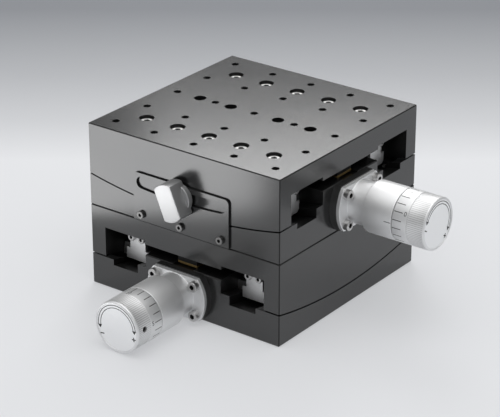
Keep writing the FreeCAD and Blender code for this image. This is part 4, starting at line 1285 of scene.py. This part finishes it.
@dataclass(frozen=True)
class DialDrive:
    """Sleeve, graduated ring and cap about the worm's axis."""

    stage: StageFrame
    scale: Scale
    lines: Repeat
    screws: Repeat
    boss_face: float = 64.0
    flange_radius: float = 18.29
    flange_flat: float = 11.7
    neck_radius: float = 11.5
    sleeve_start: float = 75.8
    sleeve_end: float = 93.0
    ring_start: float = 93.3
    cap_start: float = 101.8
    cap_end: float = 112.0
    radius: float = 13.7
    bore: float = 4.5
    hub: float = 8.0
    hub_gap: float = 0.02
    chamfer: float = 0.4
    cap_rounding: float = 1.1
    ribs: int = 84
    rib_depth: float = 0.14
    inlay_radius: float = 12.5
    inlay_depth: float = 0.35
    inlay_fade: float = 0.15
    set_screw_place: float = 106.8
    set_screw_angle: float = 85.0
    set_screw_seat: float = 10.4
    hole_radius: float = 1.5
    hole_length: float = 7.0
    hole_middle: float = 12.5
    divisions: int = 20
    mark_rise: float = 0.02
    line_place: float = 96.3
    line_length: float = 5.0
    line_width: float = 0.38
    line_thickness: float = 0.1
    index_place: float = 90.9
    index_angle: float = -88.6
    index_length: float = 3.8
    number_place: float = 100.3
    number_height: float = 2.3
    number_cut: float = 0.35
    number_cuts: int = 4
    arc_radii: Pair = (10.3, 11.7)
    arc_half_width: float = 0.19
    arc_span: float = 90.0
    arc_steps: int = 30
    arrow_radius: float = 11.0
    arrow_half_width: float = 1.3
    arrow_turn: float = 10.0
    sign_radius: float = 11.1
    sign_turn: float = 115.0
    sign_reach: float = 1.2
    sign_half_width: float = 0.27
    sign_rise: float = 0.03
    sign_thickness: float = 0.06

    @property
    def finish(self) -> Finish:
        """Turned aluminium about the worm's axis."""
        return TurnedMetal(f"turned_aluminium_{self.stage.name}", self.stage.worm)

    @property
    def cap_finish(self) -> Finish:
        """The same with ribs whose grooves carry painted shade, and a matt face.

        Returns:
            The finish.
        """
        return TurnedMetal(f"knurled_aluminium_{self.stage.name}", self.stage.worm,
                           ribs=(self.ribs, self.cap_end - self.cap_rounding),
                           matt_face=(self.cap_end - self.inlay_depth - self.inlay_fade, self.inlay_radius))

    def build(self) -> None:
        """Makes and dresses the whole drive."""
        self.build_sleeve()
        self.build_ring()
        self.build_cap()
        self.build_set_screw()
        self.build_lines()
        self.build_numbers()
        self.build_turning_marks()

    def build_sleeve(self) -> None:
        """The fixed sleeve with its flattened flange."""
        spindle = self.stage.worm
        mesh = spindle.lathe("sleeve", rounded([
            Corner(self.boss_face, self.bore), Corner(self.boss_face, self.flange_radius),
            Corner(FLANGE_FACE, self.flange_radius, 0.3), Corner(FLANGE_FACE, self.neck_radius, 0.5),
            Corner(self.sleeve_start, self.neck_radius, 0.3), Corner(self.sleeve_start, self.radius, 0.5),
            Corner(self.sleeve_end, self.radius, 0.35), Corner(self.sleeve_end, self.bore),
        ]), segments=240)
        limit = self.flange_flat * MM
        middle = spindle.origin.z
        for vertex in mesh.vertices:
            if (vertex.co - spindle.origin).dot(spindle.along) / MM < FLANGE_FACE + TOUCH:
                vertex.co.z = middle + max(-limit, min(limit, vertex.co.z - middle))
        mesh.update()
        self.stage.add("turned_sleeve", mesh, self.finish, self.stage.base_body, "satin_aluminium",
                       "dial_sleeve")

    def build_ring(self) -> None:
        """The graduated ring."""
        inner = self.hub + self.hub_gap
        mesh = self.stage.worm.lathe("ring", rounded([
            Corner(self.ring_start, inner), Corner(self.ring_start, self.radius, self.chamfer),
            Corner(self.cap_start, self.radius, self.chamfer), Corner(self.cap_start, inner),
        ]))
        self.stage.add("graduated_ring", mesh, self.finish, self.stage.knob_body, "satin_aluminium",
                       "dial_ring")

    def build_cap(self) -> None:
        """The cap with its ribs, its rounded end, its sunk face and the set screw's hole."""
        spindle, hub = self.stage.worm, self.hub - self.hub_gap
        inlay = self.cap_end - self.inlay_depth
        mesh = spindle.lathe("cap", rounded([
            Corner(self.ring_start, 0), Corner(self.ring_start, hub),
            Corner(self.cap_start, hub), Corner(self.cap_start, self.radius, self.chamfer),
            Corner(self.cap_end, self.radius, self.cap_rounding),
            Corner(self.cap_end, self.inlay_radius, 0.12), Corner(inlay, self.inlay_radius, 0.1),
            Corner(inlay, 0),
        ], steps=6), segments=2 * self.ribs)
        self.knurl(mesh)
        hole = bmesh.new()
        bmesh.ops.create_cone(hole, cap_ends=True, segments=32, radius1=self.hole_radius * MM,
                              radius2=self.hole_radius * MM, depth=self.hole_length * MM)
        turn = UP.rotation_difference(spindle.out(self.set_screw_angle)).to_matrix().to_4x4()
        middle = spindle.at(self.set_screw_place, self.hole_middle, self.set_screw_angle)
        bmesh.ops.transform(hole, verts=hole.verts, matrix=Matrix.Translation(middle) @ turn)
        mesh = combined(mesh, mesh_of(hole, "set_screw_hole"), "DIFFERENCE")
        self.stage.add("grip_cap", mesh, self.cap_finish, self.stage.knob_body, "satin_aluminium",
                       "knob_cap")

    def knurl(self, mesh: bpy.types.Mesh) -> None:
        """Sinks every other line of the cap's round face, which leaves fine straight ribs.

        Args:
            mesh: the turned cap, with two flats for each rib.
        """
        spindle = self.stage.worm
        start, end = self.cap_start + self.chamfer, self.cap_end - self.cap_rounding
        for vertex in mesh.vertices:
            offset = vertex.co - spindle.origin
            along = offset.dot(spindle.along) / MM
            turn = round(math.atan2(offset.dot(spindle.side), offset.z) / math.tau * 2 * self.ribs)
            if turn % 2 and start - TOUCH < along < end + TOUCH:
                vertex.co -= spindle.out(180 * turn / self.ribs) * self.rib_depth * MM
        mesh.update()

    def build_set_screw(self) -> None:
        """The set screw under the cap's surface."""
        spindle = self.stage.worm
        spot = Spot(spindle.at(self.set_screw_place, self.set_screw_seat, self.set_screw_angle),
                    spindle.out(self.set_screw_angle), spindle.along)
        piece = self.screws.grow(f"{self.stage.name}_cap_set_screw", [spot], Plating.BLACK.value, {
            "Head Radius": 1.47 * MM, "Head Height": 2.5 * MM, "Edge": 0.2 * MM,
            "Socket Radius": 0.87 * MM, "Socket Depth": 1.4 * MM, "Shank Radius": 1.2 * MM,
            "Shank Length": 1.0 * MM, "Sides": 32, "Seed": 3})
        fit(piece, self.stage.knob_body, [f"{self.stage.name}_knob_set_screw"])

    def engrave(self, name: str, body: str, place: float, length: float, angles: Iterable[float]) -> None:
        """Engraves lines along the axis.

        Args:
            name: the piece's name, without the stage's.
            body: the body that carries the lines.
            place: of the lines' middles along the axis, in mm.
            length: of a line, in mm.
            angles: of the lines, in degrees.
        """
        spindle = self.stage.worm
        height = self.radius + self.mark_rise - self.line_thickness / 2
        spots = [Spot(spindle.at(place, height, angle), spindle.out(angle), spindle.along)
                 for angle in angles]
        sizes = {"Length": length * MM, "Width": self.line_width * MM, "Thickness": self.line_thickness * MM}
        fit(self.lines.grow(f"{self.stage.name}_{name}", spots, ENGRAVED, sizes), body)

    def build_lines(self) -> None:
        """The graduation lines on the ring and the index line on the sleeve."""
        angles = [self.scale.first_line + 360 / self.divisions * step for step in range(self.divisions)]
        self.engrave("graduation_lines", self.stage.knob_body, self.line_place, self.line_length, angles)
        self.engrave("index_line", self.stage.base_body, self.index_place, self.index_length,
                     [self.index_angle])

    def build_numbers(self) -> None:
        """The numbers at every fifth line, bent round the ring."""
        rise = self.radius - DIGIT_HALF_THICKNESS + self.mark_rise
        whole = bmesh.new()
        for number, angle in self.scale.numbers.items():
            flat = text_mesh(str(number), self.number_height)
            digits = bmesh.new()
            digits.from_mesh(flat)
            for cut in range(-self.number_cuts, self.number_cuts + 1):
                bmesh.ops.bisect_plane(digits, geom=[*digits.verts, *digits.edges, *digits.faces],
                                       plane_co=(0, cut * self.number_cut, 0), plane_no=(0, 1, 0))
            for vertex in digits.verts:
                x, y, z = vertex.co
                bend = math.degrees(y / self.radius)
                vertex.co = self.stage.worm.at(self.number_place - x, rise + z, angle - bend)
            digits.to_mesh(flat)
            digits.free()
            whole.from_mesh(flat)
        bmesh.ops.remove_doubles(whole, verts=whole.verts, dist=1e-7)
        mesh = mesh_of(whole, "dial_numbers")
        self.stage.add("dial_numbers", mesh, ENGRAVED, self.stage.knob_body, "dark_screw")

    def stroke(self, middle: Vector, ahead: Vector, beside: Vector) -> list[Vector]:
        """The outline of a stroke of a sign.

        Args:
            middle: its middle.
            ahead: the direction of its length, of length 1.
            beside: the direction of its width, of length 1.

        Returns:
            Its corners in order.
        """
        end, side = ahead * self.sign_reach * MM, beside * self.sign_half_width * MM
        return [middle - end - side, middle + end - side, middle + end + side, middle - end + side]

    def build_turning_marks(self) -> None:
        """The double arc with two arrows and the minus and plus signs on the cap's face."""
        spindle, centre, span = self.stage.worm, self.scale.marks_centre, self.arc_span
        face = self.cap_end - self.inlay_depth + self.sign_rise
        across, rise = (spindle.out(centre + turn) for turn in (90, 0))
        part = 2 * span / self.arc_steps
        outlines = []
        for radius in self.arc_radii:
            inner, outer = radius - self.arc_half_width, radius + self.arc_half_width
            for step in range(self.arc_steps):
                angles = [centre - span + part * (step + share) for share in (0, 0.5, 1)]
                outlines.append([spindle.at(face, outer, angle) for angle in angles]
                                + [spindle.at(face, inner, angle) for angle in reversed(angles)])
        for side in (-1, 1):
            root, tip = centre + side * span, centre + side * (span + self.arrow_turn)
            outlines.append([spindle.at(face, self.arrow_radius, tip)] + [
                spindle.at(face, self.arrow_radius + self.arrow_half_width * way, root) for way in (1, -1)])
            middle = spindle.at(face, self.sign_radius, centre + side * self.sign_turn)
            outlines.append(self.stroke(middle, across, rise))
            if side > 0:
                outlines.append(self.stroke(middle, rise, across))
        mesh = slab("turning_marks", outlines, spindle.along * -self.sign_thickness * MM)
        self.stage.add("turning_marks", mesh, ENGRAVED, self.stage.knob_body, "dark_screw")


@dataclass(frozen=True)
class TappedGrid:
    """The threads in the top table's tapped holes."""

    stage: StageFrame
    threads: Repeat
    pitch: float = 25.0
    count: int = 5
    top: float = 44.55
    radius: float = 2.08
    ridge: float = 0.36
    depth: float = 8.4
    turns: float = 12.0
    steps: int = 20

    def build(self) -> None:
        """Makes a thread in each hole."""
        places = [(step - (self.count - 1) / 2) * self.pitch for step in range(self.count)]
        spots = [Spot(self.stage.point(x, y, self.top), UP, Vector((1, 0, 0)))
                 for y in places for x in places]
        piece = self.threads.grow("top_table_threads", spots, BlackAnodising("blasted_black"), {
            "Radius": self.radius * MM, "Ridge": self.ridge * MM, "Depth": self.depth * MM,
            "Turns": self.turns, "Steps": self.steps})
        fit(piece, self.stage.table_body)


@dataclass(frozen=True)
class StageBody:
    """The pieces that keep their CAD shape: plates, guides, worm drive and clamp stud."""

    stage: StageFrame
    # radius beyond which the worm wheel's brass is free of painted shade
    bright_rim: float = 269.9

    def build(self) -> None:
        """Dresses every piece of the stage."""
        self.dress_plates()
        self.dress_guides()
        self.dress_worm_drive()
        self.dress(("clamp_stud",), TurnedMetal(
            f"stud_steel_{self.stage.name}", self.stage.clamp, level=0.6, warmth=0.0, rough=0.24))

    def dress(self, kinds: Iterable[str], finish: Finish) -> None:
        """Gives nodes their finish.

        Args:
            kinds: the nodes' kinds.
            finish: the finish of them all.
        """
        for kind in kinds:
            finish.dress(self.stage.node(kind))
            log.info("%s_%s is dressed in %s", self.stage.name, kind, finish.name)

    def dress_plates(self) -> None:
        """The black pieces."""
        boss = BlackAnodising("blasted_black_boss", dark=0.13, pale=0.17, rough=0.26)
        self.dress(("bearing_boss",), boss)
        for kind in ("base", "table"):
            node = f"{self.stage.name}_{kind}"
            low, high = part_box(node)
            self.dress((kind,), BlackAnodising(f"blasted_black_{node}", low, high))

    def stretch(self, local: str, fine: float, coarse: float) -> Numbers:
        """The scales of lines that run along the stage's X or Y."""
        drawn = self.stage.axis(local)
        return tuple(coarse if name == drawn else fine for name in "XYZ")

    def dress_guides(self) -> None:
        """Rails, rollers, cages and end plates."""
        name = self.stage.name
        ground = BrushedMetal(
            f"ground_steel_{name}", self.stretch("X", fine=4200, coarse=60), level=0.6, rough=0.24)
        plate = BrushedMetal(
            f"satin_plate_{name}", self.stretch("Y", fine=2600, coarse=90), level=0.9, rough=0.4)
        self.dress(("table_rails", "base_rails"), ground)
        self.dress(("rollers",), ScrewPlating("polished_roller", level=0.66, rough=0.12))
        self.dress(("roller_cages",), Brass("cage_sheet", rough=0.36))
        self.dress(("rail_end_plates",), plate)

    def dress_worm_drive(self) -> None:
        """Worm, shaft, bearings and worm wheel."""
        name = self.stage.name
        turned = TurnedMetal(f"turned_steel_{name}", self.stage.worm, level=0.6, warmth=0.0, rough=0.22)
        self.dress(("worm_shaft", "worm_bearings"), turned)
        # the worm wheel's brass has painted shade inside its rim
        brass = Brass(f"milled_brass_{name}", rough=0.36, wheel=self.stage.tilt, rim_radius=self.bright_rim)
        self.dress(("worm_wheel",), brass)


@dataclass(frozen=True)
class WingClamp:
    """The clamp's thin slotted plate and its wing knob, a leaning wing on a flat collar."""

    stage: StageFrame
    plate_back: float = 60.03
    plate_front: float = CLAMP_PLATE_FRONT
    # depth in mm where the painted shade on the plate's edges ends
    plate_line: float = 0.5
    seat: float = CLAMP_PLATE_FRONT + 0.1
    back: float = CLAMP_PLATE_FRONT + 0.6
    front: float = 71.6
    thickness: float = 11.0
    radius: float = 10.0
    end_steps: int = 8
    lean: float = 23.0
    collar_radius: float = 7.8
    collar_front: float = 64.2
    edge: float = 0.6

    def build(self) -> None:
        """Makes and dresses the plate and the knob."""
        self.build_plate()
        self.build_knob()

    def build_plate(self) -> None:
        """The plate: the solid's outline, slot and holes, in the thickness of sheet metal."""
        node = f"{self.stage.name}_clamp_plate"
        out = self.stage.way(0, -1, 0)
        shape = bmesh.new()
        shape.from_mesh(self.stage.node("clamp_plate").data)
        bmesh.ops.remove_doubles(shape, verts=shape.verts, dist=TOUCH * MM)
        depths = [vertex.co.dot(out) for vertex in shape.verts]
        back, front = min(depths), max(depths)
        for vertex, depth in zip(shape.verts, depths):
            share = (depth - back) / (front - back)
            vertex.co += out * ((self.plate_back + share * (self.plate_front - self.plate_back)) * MM - depth)
        mesh = mesh_of(shape, node)
        lines = list(zip(*(vertex.co for vertex in mesh.vertices)))
        low, high = (Vector([end(line) for line in lines]) for end in (min, max))
        # painted shade on the plate's edges, near black just behind its front and back faces
        finish = BlackAnodising(f"blasted_black_{node}", low, high, self.stage.axis("Y"), self.plate_line)
        self.stage.add("slotted_plate", mesh, finish, self.stage.base_body, "black_anodised", "clamp_plate",
                       flat=True)

    def build_knob(self) -> None:
        """The wing knob, its wing and collar in one piece."""
        spindle = self.stage.clamp
        half = math.degrees(math.asin(self.thickness / 2 / self.radius))
        ends = [-half + 2 * half * step / self.end_steps for step in range(self.end_steps + 1)]
        outline = [spindle.at(self.front, self.radius, self.lean + turn + angle)
                   for turn in (0, 180) for angle in ends]
        shape = bmesh.new()
        shape.from_mesh(slab("wing", [outline], spindle.along * (self.back - self.front) * MM))
        sharp = [edge for edge in shape.edges if edge.calc_face_angle() > SMOOTH_UP_TO]
        bmesh.ops.bevel(shape, geom=sharp, offset=self.edge * MM, segments=3, profile=0.6, affect="EDGES")
        collar = spindle.lathe("collar", rounded([
            Corner(self.seat, 0), Corner(self.seat, self.collar_radius),
            Corner(self.collar_front, self.collar_radius, 0.4), Corner(self.collar_front, 0)]), segments=96)
        knob = combined(mesh_of(shape, "wing"), collar, "UNION")
        self.stage.add("wing_knob", knob, BlastedAluminium("blasted_aluminium"),
                       f"{self.stage.name}_clamp", "satin_aluminium", "clamp_knob")


# Studio


@dataclass(frozen=True)
class SoftLight:
    """A soft lamp: its name, place, target, width, height, power and the spread of its light in degrees."""

    name: str
    place: Numbers
    target: Numbers
    width: float
    height: float
    power: float
    spread: float = 180

    def build(self) -> None:
        """Hangs the lamp."""
        lamp = bpy.data.lights.new(self.name, "AREA")
        lamp.shape, lamp.size, lamp.size_y, lamp.energy = "RECTANGLE", self.width, self.height, self.power
        lamp.spread = math.radians(self.spread)
        holder = linked(self.name, lamp)
        holder.location = self.place
        facing = Vector(self.target) - Vector(self.place)
        holder.rotation_euler = facing.to_track_quat("-Z", "Y").to_euler()
        holder.visible_camera = False
        log.info("lamp %s", self.name)


@dataclass(frozen=True)
class Studio:
    """Floor, lamps, world and camera."""

    camera_place: Numbers = (0.59278, -0.79543, 0.49509)
    camera_tilt: float = 90 - 24.81
    camera_turn: float = 36.82
    lens: float = 151.15
    sensor: float = 36.0
    floor_half: float = 4.0
    floor_gap: float = 0.0001
    horizon_level: float = 0.3
    zenith_level: float = 1.0
    sky_rise: Pair = (0.35, 0.9)
    lamps: tuple[SoftLight, ...] = (
        SoftLight("back_card", place=(-0.3185, 0.475, 0.592), target=(0, 0, 0.186),
                  width=0.26, height=0.45, power=1.55),
        SoftLight("left_card", place=(-0.085, -0.14, 0.053), target=(0.505, 0.56, 0.453),
                  width=0.12, height=0.09, power=0.0165, spread=70),
        SoftLight("top_card", place=(0.2, -0.3, 1.6), target=(0, 0, 0), width=1.4, height=1.4, power=6),
    )

    def build(self) -> None:
        """Makes the whole studio."""
        self.build_floor()
        self.build_world()
        for lamp in self.lamps:
            lamp.build()
        self.build_camera()
        bpy.context.scene.view_settings.view_transform = "Standard"

    def build_floor(self) -> None:
        """The seamless floor."""
        mesh = bpy.data.meshes.new("studio_floor")
        corners = [(x * self.floor_half, y * self.floor_half, -self.floor_gap)
                   for x, y in ((-1, -1), (1, -1), (1, 1), (-1, 1))]
        mesh.from_pydata(corners, [], [(0, 1, 2, 3)])
        floor = linked("studio_floor", mesh)
        away = Vector((-self.camera_place[0], -self.camera_place[1], 0)).normalized()
        StudioFloor("studio_floor", away).dress(floor)

    def build_world(self) -> None:
        """A soft light from all sides, brighter from above."""
        world = bpy.data.worlds.new("studio")
        world.use_nodes = True
        world.node_tree.nodes.clear()
        graph = Graph(world.node_tree)
        rise = graph.along(graph.node("ShaderNodeTexCoord", output="Generated"), "Z")
        colour = graph.mix(graph.step(rise, *self.sky_rise), grey(self.horizon_level, -0.01),
                           grey(self.zenith_level))
        sky = graph.node("ShaderNodeBackground", inputs={"Color": colour, "Strength": 1.0})
        graph.node("ShaderNodeOutputWorld", inputs={"Surface": sky})
        bpy.context.scene.world = world

    def build_camera(self) -> None:
        """The camera at the photograph's angle."""
        data = bpy.data.cameras.new("camera")
        data.lens, data.sensor_width, data.sensor_fit = self.lens, self.sensor, "HORIZONTAL"
        data.clip_start, data.clip_end = 0.01, 50.0
        camera = linked("camera", data)
        camera.location = self.camera_place
        camera.rotation_euler = (math.radians(self.camera_tilt), 0, math.radians(self.camera_turn))
        bpy.context.scene.camera = camera
        log.info("camera at %s", self.camera_place)


def main() -> None:
    """Builds the studio and both stages."""
    logging.basicConfig(level=logging.INFO, format="%(message)s")
    Studio().build()
    screws, lines = screw_tree(), line_tree()
    for tier in Tier:
        stage = tier.value
        fasteners = ScrewSet(stage, screws)
        for assembly in (StageBody(stage), fasteners, WingClamp(stage),
                         DialDrive(stage, SCALES[tier], lines, screws)):
            assembly.build()
        if tier is Tier.UPPER:
            fasteners.join_stages()
            TappedGrid(stage, thread_tree()).build()


if __name__ == "__main__":
    main()
